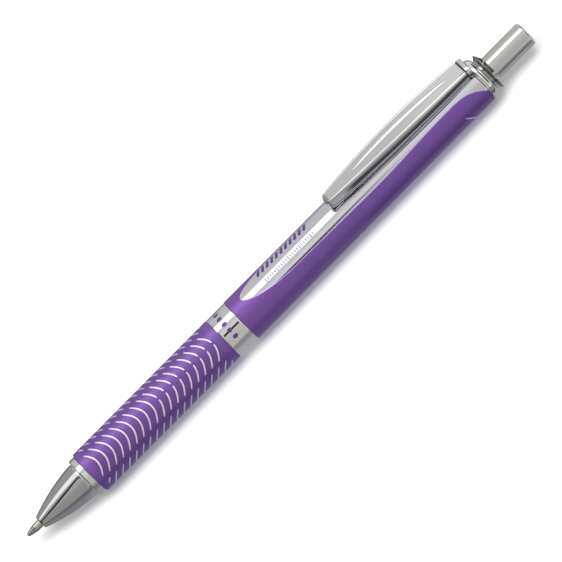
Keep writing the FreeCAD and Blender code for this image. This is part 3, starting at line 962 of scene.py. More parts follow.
@dataclass
class FrontSection(SubAssembly):
    """Nose cone and lacquered grip, which screw out of the barrel together."""

    mouth_radius: float = 1.40
    mouth_bore: float = 1.02
    cone_middle: Point2 = (9.67, 3.15)
    cone_back: Point2 = (15.70, 3.97)
    groove_radius: float = 3.75
    collar_start: float = 15.95
    collar_radius: float = 4.55
    spigot_radius: float = 4.31
    liner_bore: float = 3.31
    spring_seat: float = 10.04
    spring_well_end: float = 14.04
    spring_well_radius: float = 2.55
    nose_bore: float = 1.52
    nose_bore_start: float = 6.59
    mouth_land_end: float = 5.59
    grip_bore: float = 4.35
    lacquer_depth: float = 0.02
    wave_pitch: float = 1.91
    first_crest: float = 20.3
    wave_count: int = 19
    gap_half: float = math.radians(5.0)
    middle_gap: float = math.radians(-2.0)
    middle_gap_from: int = 9
    line_width: float = 0.4

    def build(self) -> None:
        """Makes the cone, the sleeve and the silver waves."""
        self.nose_cone()
        self.grip_sleeve()
        self.grip_waves()
        self.keep("grip_liner", Finishes.liner)
        self.keep("return_spring", Finishes.spring)

    def nose_cone(self) -> None:
        """Ogive cone with its groove, its collar and the spigot inside the grip."""
        span = Span.of("nose_cone")
        collar_end = Span.of("grip_sleeve").start - 0.05
        ogive = arc_through((span.start, self.mouth_radius), self.cone_middle, self.cone_back)
        steps = 40
        outline = [(span.start, self.mouth_bore), (span.start, self.mouth_radius - 0.14),
                   (span.start + 0.04, self.mouth_radius - 0.05)]
        for step in range(1, steps + 1):
            x = span.start + (self.cone_back[0] - 0.1 - span.start) * step / steps
            outline.append((x, ogive(x)))
        outline += rounded([
            Corner(self.cone_back[0] - 0.1, self.cone_back[1]),
            Corner(self.cone_back[0], self.cone_back[1], 0.08),
            Corner(self.cone_back[0], self.groove_radius),
            Corner(self.collar_start, self.groove_radius),
            Corner(self.collar_start, self.collar_radius, 0.3),
            Corner(collar_end, self.collar_radius, 0.14),
            Corner(collar_end, self.spigot_radius),
            Corner(span.end, self.spigot_radius, 0.1),
            Corner(span.end, self.liner_bore),
            Corner(self.spring_well_end, self.liner_bore),
            Corner(self.spring_well_end, self.spring_well_radius),
            Corner(self.spring_seat, self.spring_well_radius),
            Corner(self.spring_seat, self.nose_bore),
            Corner(self.nose_bore_start, self.nose_bore),
            Corner(self.mouth_land_end, self.mouth_bore),
        ])[1:]
        self.place(turned("nose_cone_chrome", outline), Body.FRONT, Slot.CHROME, Finishes.chrome,
                   ["nose_cone"])

    def grip_sleeve(self) -> None:
        """Lacquered tube of the grip, a hair under the silver of its waves."""
        span = Span.of("grip_sleeve")
        radius = span.radius - self.lacquer_depth
        outline = rounded([
            Corner(span.start, self.grip_bore),
            Corner(span.start, radius, 0.14),
            Corner(span.end, radius, 0.14),
            Corner(span.end, self.grip_bore),
        ])
        self.place(turned("grip_lacquer", outline), Body.FRONT, Slot.LACQUER, Finishes.grip_lacquer,
                   ["grip_sleeve"])

    def grip_waves(self) -> None:
        """Silver waves round the grip, broken where they turn."""
        span = Span.of("grip_sleeve")
        finish = Finishes.grip_lacquer
        style = MarkStyle(self.line_width, self.lacquer_depth, span.radius - self.lacquer_depth,
                          swing=finish.swing, crest=finish.crest, end_power=9.0, steps=37)
        marks: list[Mark] = []
        for number in range(-2, self.wave_count + 2):
            middle = self.first_crest - finish.swing + self.wave_pitch * number
            for lobe in range(4):
                centre = finish.crest + lobe * math.pi / 2
                edge = math.pi / 4 - self.gap_half
                pieces = [(centre - edge, centre + edge)]
                if lobe % 2 == 0 and number >= self.middle_gap_from:
                    split = centre + self.middle_gap
                    notch = self.gap_half * 0.55
                    pieces = [(centre - edge, split - notch), (split + notch, centre + edge)]
                for start, end in pieces:
                    marks += self.clipped(middle, start, end, finish)
        self.place(wrapped_marks("grip_waves", marks, style, Finishes.etched), Body.FRONT, Slot.LACQUER)

    def clipped(self, middle: float, start: float, end: float, finish: Lacquer) -> list[Mark]:
        """Keeps the stretch of a wave that lies inside the patterned field.

        Args:
            middle: station of the wave's middle line.
            start: angle where the stretch starts.
            end: angle where it ends.
            finish: the lacquer that says where the field lies.

        Returns:
            The marks that are left, none or more.
        """
        steps = 120
        inside: list[float] = []
        found: list[Mark] = []
        for step in range(steps + 2):
            angle = start + (end - start) * step / steps
            x = middle + finish.swing * math.cos(2 * (angle - finish.crest))
            if step <= steps and finish.field_start <= x <= finish.field_end:
                inside.append(angle)
            elif inside:
                if inside[-1] - inside[0] > math.radians(5):
                    found.append(Mark(middle, inside[0], inside[-1]))
                inside = []
        return found


@dataclass
class Barrel(SubAssembly):
    """Barrel with its chrome band, its lacquer and the bare panel under the clip."""

    band_bore: float = 4.23
    band_crown: float = 0.05
    bore: float = 4.25
    front_radius: float = 4.95
    back_radius: float = 4.80
    lacquer: float = 0.05
    rim_width: float = 0.13
    panel_tip: float = 62.74
    panel_full: float = 75.1
    panel_widest: float = 98.8
    panel_waist: float = 117.6
    angle_full: float = 36.2
    angle_widest: float = 40.2
    angle_waist: float = 34.4
    tail_rise: float = 36.6
    columns: int = 132
    end_round: float = 0.12
    end_drop: float = 0.04
    print_height: float = 0.012
    lozenge_width: float = 1.9
    lozenge_reach: float = 7.5
    bar_start: float = 68.8
    bar_pitch: float = 1.28
    bar_count: int = 11
    tick_start: float = 69.0
    tick_pitch: float = 0.62
    tick_count: int = 22
    slash_x: float = 120.35

    def build(self) -> None:
        """Makes the band, the tube, its lacquer and the ornament."""
        self.centre_band()
        self.tube()
        self.lacquer_shell()
        self.ornament()
        self.keep("thread_bush", Finishes.brass)
        self.keep("cam_housing", Finishes.cam)

    def radius(self, x: float) -> float:
        """Outer radius of the barrel at a station, with its slight taper."""
        span = Span.of("barrel")
        share = (x - span.start) / (span.end - span.start)
        return self.front_radius + (self.back_radius - self.front_radius) * min(max(share, 0), 1)

    def centre_band(self) -> None:
        """Gently crowned chrome ring with a row of small lozenges."""
        span = Span.of("centre_band")
        edge = span.radius - self.band_crown
        middle, half = (span.start + span.end) / 2, (span.end - span.start) / 2
        outline = [(span.start, self.band_bore), (span.start, edge - 0.05)]
        steps = 40
        for k in range(1, 2 * steps):
            share = math.sin(math.pi / 2 * (k / steps - 1))
            outline.append((middle + half * share, span.radius - self.band_crown * abs(share) ** 24))
        outline += [(span.end, edge - 0.05), (span.end, self.band_bore)]
        self.place(turned("centre_band_chrome", outline), Body.BARREL, Slot.CHROME, Finishes.chrome,
                   ["centre_band"])
        style = MarkStyle(self.lozenge_width, self.print_height, span.radius - 0.004, end_power=1.3, steps=15)
        marks = [self.band(middle - 0.3, angle - self.lozenge_reach, angle + self.lozenge_reach)
                 for angle in range(-42, 60, 19)]
        self.mark("band_lozenges", marks, style)

    def tube(self) -> None:
        """Bare metal tube, which shows where the lacquer leaves it open."""
        span = Span.of("barrel")
        cut = self.lacquer
        outline = rounded([
            Corner(span.start, self.bore),
            Corner(span.start, self.front_radius - cut, 0.1),
            Corner(span.end, self.back_radius - cut, 0.1),
            Corner(span.end, self.bore),
        ])
        self.place(turned("barrel_tube", outline), Body.BARREL, Slot.CHROME, Finishes.bare, ["barrel"])

    def panel_angle(self, x: float) -> float:
        """Half angle of the bare panel at a station, in radians.

        Args:
            x: station from the tip.

        Returns:
            0 ahead of the panel, else the angle from the clip's plane to its edge.
        """
        if x <= self.panel_tip:
            return 0.0
        share = min((x - self.panel_tip) / (self.panel_full - self.panel_tip), 1)
        angle = self.angle_full * (1 - (1 - share) ** 2) ** 0.6
        angle += (self.angle_widest - self.angle_full) * smooth(x, self.panel_full - 4, self.panel_widest)
        angle += (self.angle_waist - self.angle_widest) * smooth(x, self.panel_widest, self.panel_waist)
        end = Span.of("barrel").end
        tail = max((x - self.panel_waist) / (end - self.panel_waist), 0)
        return math.radians(angle + self.tail_rise * tail ** 3.5)

    def lacquer_shell(self) -> None:
        """Lacquer on the barrel, with a bevelled edge round the panel in lighter lacquer, a painted
        highlight.
        """
        span = Span.of("barrel")
        begin = span.start + self.end_round
        stations = [span.start + 0.02, span.start + 0.05, begin]
        stations += [begin + (self.panel_tip - span.start - self.end_round) * k / 6 for k in range(1, 7)]
        tip_steps, tail_steps = 60, 110
        reach = self.panel_full - self.panel_tip
        stations += [self.panel_tip + reach * (k / tip_steps) ** 2.2 for k in range(1, tip_steps + 1)]
        stations += [self.panel_full + (span.end - self.end_round - self.panel_full) * k / tail_steps
                     for k in range(1, tail_steps + 1)]
        stations += [span.end - 0.06, span.end - 0.02]
        bm = bmesh.new()
        grid = []
        for x in stations:
            edge = self.panel_angle(x)
            full = self.radius(x) - self.end_break(x, span)
            inner = self.radius(x) - self.lacquer - 0.004
            rim = self.rim_width / full
            angles = [edge, edge + rim]
            angles += [edge + rim + (2 * math.pi - 2 * edge - 2 * rim) * k / self.columns
                       for k in range(1, self.columns)]
            angles += [2 * math.pi - edge - rim, 2 * math.pi - edge]
            outer = [on_surface(x, full, angle) for angle in angles]
            if edge > 0 or x >= self.panel_tip:
                outer[0] = on_surface(x, inner, angles[0])
                outer[-1] = on_surface(x, inner, angles[-1])
            grid.append(([bm.verts.new(point) for point in outer],
                         [bm.verts.new(on_surface(x, inner, angle)) for angle in angles]))
        for x, (top, low), (next_top, next_low) in zip(stations, grid, grid[1:]):
            for k in range(len(top) - 1):
                face = bm.faces.new([top[k], top[k + 1], next_top[k + 1], next_top[k]])
                # Bevel faces round the panel take the lighter lacquer: a painted highlight.
                face.material_index = int(x >= self.panel_tip - TINY and k in (0, len(top) - 2))
                bm.faces.new([low[k + 1], low[k], next_low[k], next_low[k + 1]])
        for top, low in (grid[0], grid[-1]):
            for k in range(len(top) - 1):
                bm.faces.new([top[k], top[k + 1], low[k + 1], low[k]])
        shell = mesh_object("barrel_lacquer", bm, 2e-8)
        shell.data.materials.append(Finishes.barrel_lacquer.material())
        shell.data.materials.append(Finishes.lacquer_edge_highlight.material())
        self.place(shell, Body.BARREL, Slot.LACQUER)

    def end_break(self, x: float, span: Span) -> float:
        """How far the lacquer is rounded down close to either end of the barrel."""
        near = min(x - span.start, span.end - x)
        return self.end_drop * max(1 - near / self.end_round, 0) ** 2

    def ornament(self) -> None:
        """Slanted bars and ticks on the panel, and the two slashes low on the back of the barrel."""
        span = Span.of("barrel")
        taper = (self.front_radius - self.back_radius) / (span.end - span.start)
        bare = self.front_radius - self.lacquer
        high, skin = self.print_height, self.front_radius
        bars = MarkStyle(0.9, high, bare, taper, span.start, slope=-2.4, end_power=20.0, steps=13)
        rows = [self.band(self.bar_start + self.bar_pitch * k, -33, -11) for k in range(self.bar_count)]
        self.mark("panel_bars", rows, bars)
        ticks = MarkStyle(0.27, high, bare, taper, span.start, end_power=12.0, steps=9)
        rows = []
        for k in range(self.tick_count):
            reach = 0 if k % 5 else 2
            rows.append(self.band(self.tick_start + self.tick_pitch * k, 6.5 - reach, 15.5 + reach))
        self.mark("panel_ticks", rows, ticks)
        for name, width, start, end, finish in (
                ("barrel_slash", 0.42, 80, 121, Finishes.etched),
                ("barrel_slash_dark", 0.34, 70, 104, Finishes.mark_lacquer)):
            slash = MarkStyle(width, high, skin, taper, span.start, slope=3.3, end_power=3.0)
            self.mark(name, [self.band(self.slash_x, start, end)], slash, finish)

    def band(self, x: float, start: float, end: float) -> Mark:
        """Mark at a station between two angles in degrees."""
        return Mark(x, math.radians(start), math.radians(end))

    def mark(self, name: str, marks: Sequence[Mark], style: MarkStyle,
             finish: Finish = Finishes.mark_lacquer) -> None:
        """Lays a set of marks on the barrel."""
        self.place(wrapped_marks(name, marks, style, finish), Body.BARREL, Slot.LACQUER)


@dataclass
class Clip(SubAssembly):
    """Chrome clip: a folded channel with a hollowed leaf in its face, on a bracket and a ring."""

    tip: float = 87.85
    end: float = 125.6
    top_tip: float = 8.45
    top_mid: float = 8.75
    top_head: float = 7.55
    low_tip: float = 5.80
    low_mid: float = 6.25
    low_head: float = 5.25
    half_tip: float = 1.45
    half_mid: float = 2.40
    half_head: float = 2.15
    wall: float = 0.45
    bevel: float = 0.42
    tuck: float = 0.06
    crown: float = 0.05
    nose_round: float = 1.15
    nose_drop: float = 1.1
    leaf_start: float = 96.4
    leaf_end: float = 122.1
    leaf_half: float = 0.95
    leaf_depth: float = 0.26
    # The seam line beside the head is no groove, only a darker finish on the face: painted shade.
    seam_shade_start: float = 124.2
    seam_shade_width: float = 0.17
    head_gap: float = 0.2
    step_depth: float = 0.3
    washer_bore: float = 3.36
    washer_radius: float = 4.72
    foot: float = 4.80
    crown_round: float = 0.84
    top_break: float = 0.3
    flare: float = 0.18
    undercut: float = 0.75
    bracket_corner: float = 0.24
    belly_x: float = 93.75
    belly_radius: float = 4.5
    belly_half_length: float = 3.15
    belly_half_width: float = 0.7
    belly_gap: float = 0.05

    def build(self) -> None:
        """Makes the arm, its belly, and the ring and bracket that hold it."""
        self.arm()
        self.belly()
        self.ring()
        self.bracket()

    @property
    def middle(self) -> float:
        """Station halfway along the arm."""
        return (self.tip + self.end) / 2

    def line(self, start: float, near: float, mid: float, head: float) -> Callable[[float], float]:
        """Arc along the arm through three heights or half widths: at a start, at its middle, at its end."""
        return arc_through((start, near), (self.middle, mid), (self.end, head))

    def top(self, x: float) -> float:
        """Height of the face above the axis."""
        return self.line(self.tip, self.top_tip, self.top_mid, self.top_head)(x)

    def low(self, x: float) -> float:
        """Height of the channel's lower edges above the axis."""
        return self.line(self.tip, self.low_tip, self.low_mid, self.low_head)(x)

    def half(self, x: float) -> float:
        """Half width behind the rounded nose."""
        shoulder = self.tip + self.nose_round
        return self.line(shoulder, self.half_tip, self.half_mid, self.half_head)(max(x, shoulder))

    def leaf(self, x: float) -> float:
        """Half width of the hollow leaf at a station, 0 outside it."""
        share = (x - self.leaf_start) / (self.leaf_end - self.leaf_start)
        if not 0 < share < 1:
            return 0.0
        return self.leaf_half * math.sin(math.pi * share) ** 0.6

    def section(self, x: float) -> list[Vector]:
        """Section of the arm at a station.

        Args:
            x: station from the tip.

        Returns:
            The loop's points: out over the face from wall to wall, then back inside the channel.
        """
        ahead = x - self.tip
        top, low, half = self.top(x), self.low(x), self.half(x)
        if x < self.tip + self.nose_round:
            radius = (self.nose_round ** 2 + self.half_tip ** 2) / (2 * self.nose_round)
            half = math.sqrt(max(2 * radius * ahead - ahead ** 2, 0))
        if ahead < self.nose_drop:
            fall = 1 - math.sqrt(max(1 - (1 - ahead / self.nose_drop) ** 2, 0))
            top -= 0.85 * self.nose_drop * fall
            low += 0.3 * self.nose_drop * fall
        bevel = min(self.bevel, 0.55 * half)
        tuck = min(self.tuck, 0.25 * half)
        wall = []
        for k in range(9):
            fall = 1 - k / 9
            wall.append((half - tuck * fall ** 3, low + 0.06 + (top - bevel - low - 0.06) * (1 - fall)))
        outer = [(-y, z) for y, z in wall]
        corner = [(half - bevel * (1 - math.cos(a)), top - bevel * (1 - math.sin(a)))
                  for a in (math.pi / 2 * k / 6 for k in range(7))]
        outer += [(-y, z) for y, z in corner]
        flat = half - bevel
        leaf = self.leaf(x)
        inset = max(min(leaf, flat * 0.8), min(0.15, flat * 0.3))
        depth = self.leaf_depth * math.sqrt(leaf / self.leaf_half) if leaf > 0 else 0.0

        def face(y: float, sink: float = 0.0) -> Point2:
            """Point on the crowned face, sunk where asked."""
            return y, top - self.crown * (y / half) ** 2 * 0.5 - sink

        edge = min(self.seam_shade_width, flat * 0.3)
        across = [face(-flat + edge / 2), face(-flat + edge)]
        across += [face(-inset - (flat - edge - inset) * k / 3) for k in (2, 1)]
        steps = 16
        for k in range(steps + 1):
            y = -math.cos(math.pi * k / steps)
            across.append(face(y * inset, depth * math.sqrt(max(1 - y ** 4, 0))))
        across += [face(inset + (flat - edge - inset) * k / 3) for k in (1, 2)]
        across += [face(flat - edge), face(flat - edge / 2)]
        outer += across
        outer += [(y, z) for y, z in reversed(corner)]
        outer += list(reversed(wall))
        open_share = smooth(ahead, 0.45, 0.9)
        ceiling = low + (top - self.wall - low) * open_share + 0.02
        inner_half = max(half - self.wall, 0.35 * half)
        inner = []
        for y, z in outer:
            inside = math.copysign(min(abs(y), inner_half, max(abs(y) - self.wall, inner_half - tuck)), y)
            inner.append((inside, max(min(z - (self.wall if abs(y) < inner_half else 0), ceiling), low)))
        inner[0] = (inner[0][0], low)
        inner[-1] = (inner[-1][0], low)
        loop = outer + list(reversed(inner))
        return [off_axis(x, y, z) for y, z in loop]

    def arm(self) -> None:
        """Folded channel with a rounded nose and a hollow leaf; the seam at its head and its end face get
        painted shade.
        """
        blunt = 0.012
        nose = [self.tip + blunt + (self.nose_round - blunt) * (1 - math.cos(math.pi / 2 * k / 14))
                for k in range(15)]
        body = [self.tip + self.nose_round + (self.leaf_start - 0.3 - self.tip - self.nose_round) * k / 14
                for k in range(1, 15)]
        length = self.leaf_end - self.leaf_start
        leaf = [self.leaf_start + length * (1 - math.cos(math.pi * k / 70)) / 2 for k in range(71)]
        reach = self.end - self.head_gap - self.leaf_end
        head = [self.leaf_end + reach * k / 16 for k in range(1, 17)]
        sections = [self.section(x) for x in nose + body + leaf + head]
        arm = lofted("clip_arm_chrome", sections, len(sections[0]) // 2)
        self.shade_gaps(arm, self.in_seam_shade)
        self.place(arm, Body.CLIP, Slot.CHROME, None, ["clip_arm"])

    def in_seam_shade(self, x: float, y: float, z: float, normal: Vector) -> bool:
        """Whether a face of the arm gets painted shade: in the seam beside the head, or on its end.

        Args:
            x: station of the face's middle.
            y: distance from the clip's plane, in millimetres.
            z: height above the axis, in millimetres.
            normal: the face's normal.

        Returns:
            True for a face that gets the painted shade.
        """
        if normal.x > 0.9:
            return x > self.end - 1
        flat = self.half(x) - self.bevel
        inside = flat - self.seam_shade_width < -y < flat
        return x > self.seam_shade_start and inside and z > self.top(x) - self.wall * 0.8 and normal.z > 0

    def belly(self) -> None:
        """Rounded rib under the tip that touches the barrel."""
        surface = Barrel().radius(self.belly_x) + self.belly_gap
        centre = surface + self.belly_radius
        ceiling = self.top_tip - self.wall - 0.02
        steps, soft = 28, 0.22
        sides = ((1, soft), (0.93, 0.35 * soft), (0.8, 0.0))
        sections = []
        for y, inset in [(-y, inset) for y, inset in sides] + list(reversed(sides)):
            reach, across = self.belly_half_length - inset, y * self.belly_half_width
            section = []
            for k in range(steps + 1):
                along = reach * (2 * k / steps - 1)
                drop = math.sqrt((self.belly_radius - inset) ** 2 - along ** 2)
                section.append(off_axis(self.belly_x + along, across, centre - drop))
            section += [off_axis(self.belly_x + side * reach, across, ceiling) for side in (1, -1)]
            sections.append(section)
        self.place(stacked("clip_belly", sections), Body.CLIP, Slot.CHROME, Finishes.chrome)

    def ring(self) -> None:
        """Washer ring that the bracket stands on."""
        start, end = Span.of("barrel").end + 0.05, Span.of("clip_ring").end - 0.05
        outline = rounded([
            Corner(start, self.washer_bore),
            Corner(start, self.washer_radius, 0.12),
            Corner(end, self.washer_radius, 0.12),
            Corner(end, self.washer_bore),
        ])
        self.place(turned("clip_washer", outline), Body.BARREL, Slot.CHROME, Finishes.chrome, ["clip_ring"])

    def bracket(self) -> None:
        """Upright bracket with a rounded top and a step under the arm's end; its front and the step get
        painted shade.
        """
        front, back = self.end + 0.1, Span.of("clip_ring").end
        foot, top = self.foot, self.top_head
        step = top - self.step_depth
        heights = [foot - 0.9] + [foot - 0.3 + 0.11 * k for k in range(11)]
        heights += [foot + 1.2, top - 0.85, top - 0.6, step - 0.03, step, step + 0.004, step + 0.03]
        heights += [top - 0.16, top - 0.1, top - 0.02, top]
        sections = []
        for z in heights:
            pinch, shave = self.curl(z, self.crown_round), self.curl(z, self.top_break)
            flare = self.flare * (1 - smooth(z, foot + 0.1, foot + 1.2))
            rear = back - self.flare + flare - shave
            ahead = front + self.undercut * (1 - smooth(z, foot - 0.3, foot + 0.8)) + 0.3 * shave
            if z <= step:
                ahead -= (self.head_gap + 0.07) * smooth(z, foot + 0.4, foot + 1.2)
            loop = rounded_box(ahead, rear, self.half_head - pinch, self.bracket_corner)
            sections.append([off_axis(x, y, z) for x, y in loop])
        bracket = stacked("clip_bracket", sections)
        # Painted shade: faces ahead of the front, and front faces below the top, take the dark finish.
        self.shade_gaps(bracket, lambda x, y, z, normal:
                        x < front - 0.02 or normal.x < -0.8 and z < top - 0.12)
        self.place(bracket, Body.BARREL, Slot.CHROME)

    def curl(self, z: float, radius: float) -> float:
        """How far an edge rounded by a radius has drawn in at a height on the bracket."""
        above = max(z - (self.top_head - radius), 0) / radius
        return radius * (1 - math.sqrt(max(1 - above ** 2, 0)))


def rounded_box(front: float, back: float, half: float, corner: float, steps: int = 5) -> list[Point2]:
    """Rectangle in plan with rounded corners.

    Args:
        front: low X side.
        back: high X side.
        half: half width in Y.
        corner: radius of the corners.
        steps: straight pieces in each corner.

    Returns:
        The loop's (x, y) points.
    """
    soft = min(corner, half * 0.9, (back - front) * 0.45)
    centres = [(back - soft, half - soft, 0), (front + soft, half - soft, 90),
               (front + soft, -half + soft, 180), (back - soft, -half + soft, 270)]
    loop = []
    for x, y, turn in centres:
        for step in range(steps + 1):
            angle = math.radians(turn + 90 * step / steps)
            loop.append((x + soft * math.cos(angle), y + soft * math.sin(angle)))
    return loop


@dataclass
class Collars(SubAssembly):
    """Domed collar and crown ring, between the clip and the button."""

    dome_bore: float = 3.36
    crown_bore: float = 2.83
    spigot_radius: float = 3.41
    neck_radius: float = 3.32
    rim_behind: float = 0.86
    shade_from: float = 0.38

    def build(self) -> None:
        """Makes both rings."""
        self.dome()
        self.crown()

    def dome(self) -> None:
        """Chrome collar that rounds down to the neck."""
        span = Span.of("dome_collar")
        shoulder = self.dome_bore + 0.12
        drop = span.radius - shoulder
        length = span.end - span.start
        outline = [(span.start, self.dome_bore), (span.start, span.radius - 0.05),
                   (span.start + 0.04, span.radius)]
        steps = 20
        for k in range(1, steps + 1):
            turn = math.pi / 2 * k / steps
            outline.append((span.start + 0.04 + (length - 0.04) * math.sin(turn),
                            shoulder + drop * math.cos(turn) ** 0.9))
        outline.append((span.end, self.dome_bore))
        self.place(turned("dome_collar_chrome", outline), Body.BARREL, Slot.CHROME, Finishes.chrome,
                   ["dome_collar"])

    def crown(self) -> None:
        """Flanged ring with a sharp rim and a spigot inside the housing; the outer part of its front slope
        gets painted shade.
        """
        span = Span.of("crown_ring")
        flange = Span.of("dome_collar").end + 0.05
        rim, shade = flange + self.rim_behind, flange + self.rim_behind * self.shade_from
        seat = Span.of("barrel").end - 0.1
        outline = rounded([
            Corner(span.start, self.crown_bore),
            Corner(span.start, self.spigot_radius, 0.1),
            Corner(seat, self.spigot_radius),
            Corner(seat, self.neck_radius),
            Corner(flange, self.neck_radius, 0.05),
            Corner(shade, self.neck_radius + (span.radius - self.neck_radius) * self.shade_from),
            Corner(rim, span.radius, 0.06),
            Corner(span.end, self.crown_bore + 0.12, 0.08),
            Corner(span.end, self.crown_bore),
        ], 4)
        crown = turned("crown_ring_chrome", outline)
        # Front-facing faces between the shade mark and the rim take the darker finish: painted shade.
        self.shade_gaps(crown, lambda x, y, z, normal: shade < x < rim and normal.x < 0, Finishes.recess)
        self.place(crown, Body.BARREL, Slot.CHROME, None, ["crown_ring"])


@dataclass
class Clicker(SubAssembly):
    """Push button and the cams behind it."""

    bore: float = 2.33
    wall: float = 0.4
    corner: float = 0.55

    def build(self) -> None:
        """Makes the button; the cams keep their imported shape."""
        span = Span.of("push_button")
        outline = rounded([
            Corner(span.start, self.bore),
            Corner(span.start, span.radius, 0.08),
            Corner(span.end, span.radius, self.corner),
            Corner(span.end, 0.0),
            Corner(span.end - self.wall, 0.0),
            Corner(span.end - self.wall, self.bore, 0.2),
        ], 9)
        self.place(turned("push_button_steel", outline), Body.BUTTON, Slot.BUTTON_STEEL, Finishes.button,
                   ["push_button"])
        self.keep("plunger", Finishes.cam)
        self.keep("rotor_cam", Finishes.cam)


@dataclass
class Refill(SubAssembly):
    """Ink refill with its metal point and writing ball."""

    ball_radius: float = 0.35
    lip_radius: float = 0.45
    cone_end: float = 2.15
    point_radius: float = 0.86
    shank_start: float = 7.25
    shank_radius: float = 1.15
    channel: float = 0.2
    socket_end: float = 0.72

    def build(self) -> None:
        """Makes the point and the ball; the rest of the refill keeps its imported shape."""
        span = Span.of("refill_point")
        outline = rounded([
            Corner(span.start, self.ball_radius + 0.02),
            Corner(span.start, self.lip_radius, 0.03),
            Corner(0.62, self.lip_radius + 0.07, 0.2),
            Corner(self.cone_end, self.point_radius, 0.5),
            Corner(self.shank_start, self.point_radius),
            Corner(self.shank_start + 0.3, self.shank_radius, 0.1),
            Corner(span.end, self.shank_radius, 0.08),
            Corner(span.end, self.channel),
            Corner(self.socket_end, self.channel),
            Corner(self.socket_end, self.ball_radius + 0.02),
        ], 6)
        self.place(turned("refill_point_metal", outline, 96), Body.REFILL, Slot.POINT, Finishes.point,
                   ["refill_point"])
        steps, radius = 24, self.ball_radius
        turns = [math.pi * k / steps for k in range(steps + 1)]
        ball = [(radius * (1 - math.cos(turn)), radius * math.sin(turn)) for turn in turns]
        ball[0], ball[-1] = (0.0, 0.0), (2 * radius, 0.0)
        self.place(turned("writing_ball", ball, 48), Body.BALL, Slot.CARBIDE, Finishes.carbide,
                   ["refill_ball"])
        for node, finish in (("refill_tip_holder", Finishes.holder), ("refill_tube", Finishes.tube),
                             ("refill_ink", Finishes.ink), ("refill_follower", Finishes.grease),
                             ("refill_tail_plug", Finishes.holder)):
            self.keep(node, finish)


# ------------------------------------------------------------------ studio
@dataclass(frozen=True)
class Glow:
    """Brightness of the studio at one angle above the low Y horizon, with its tint."""

    angle: float
    light: float
    tint: Colour = (1.0, 1.0, 1.0)


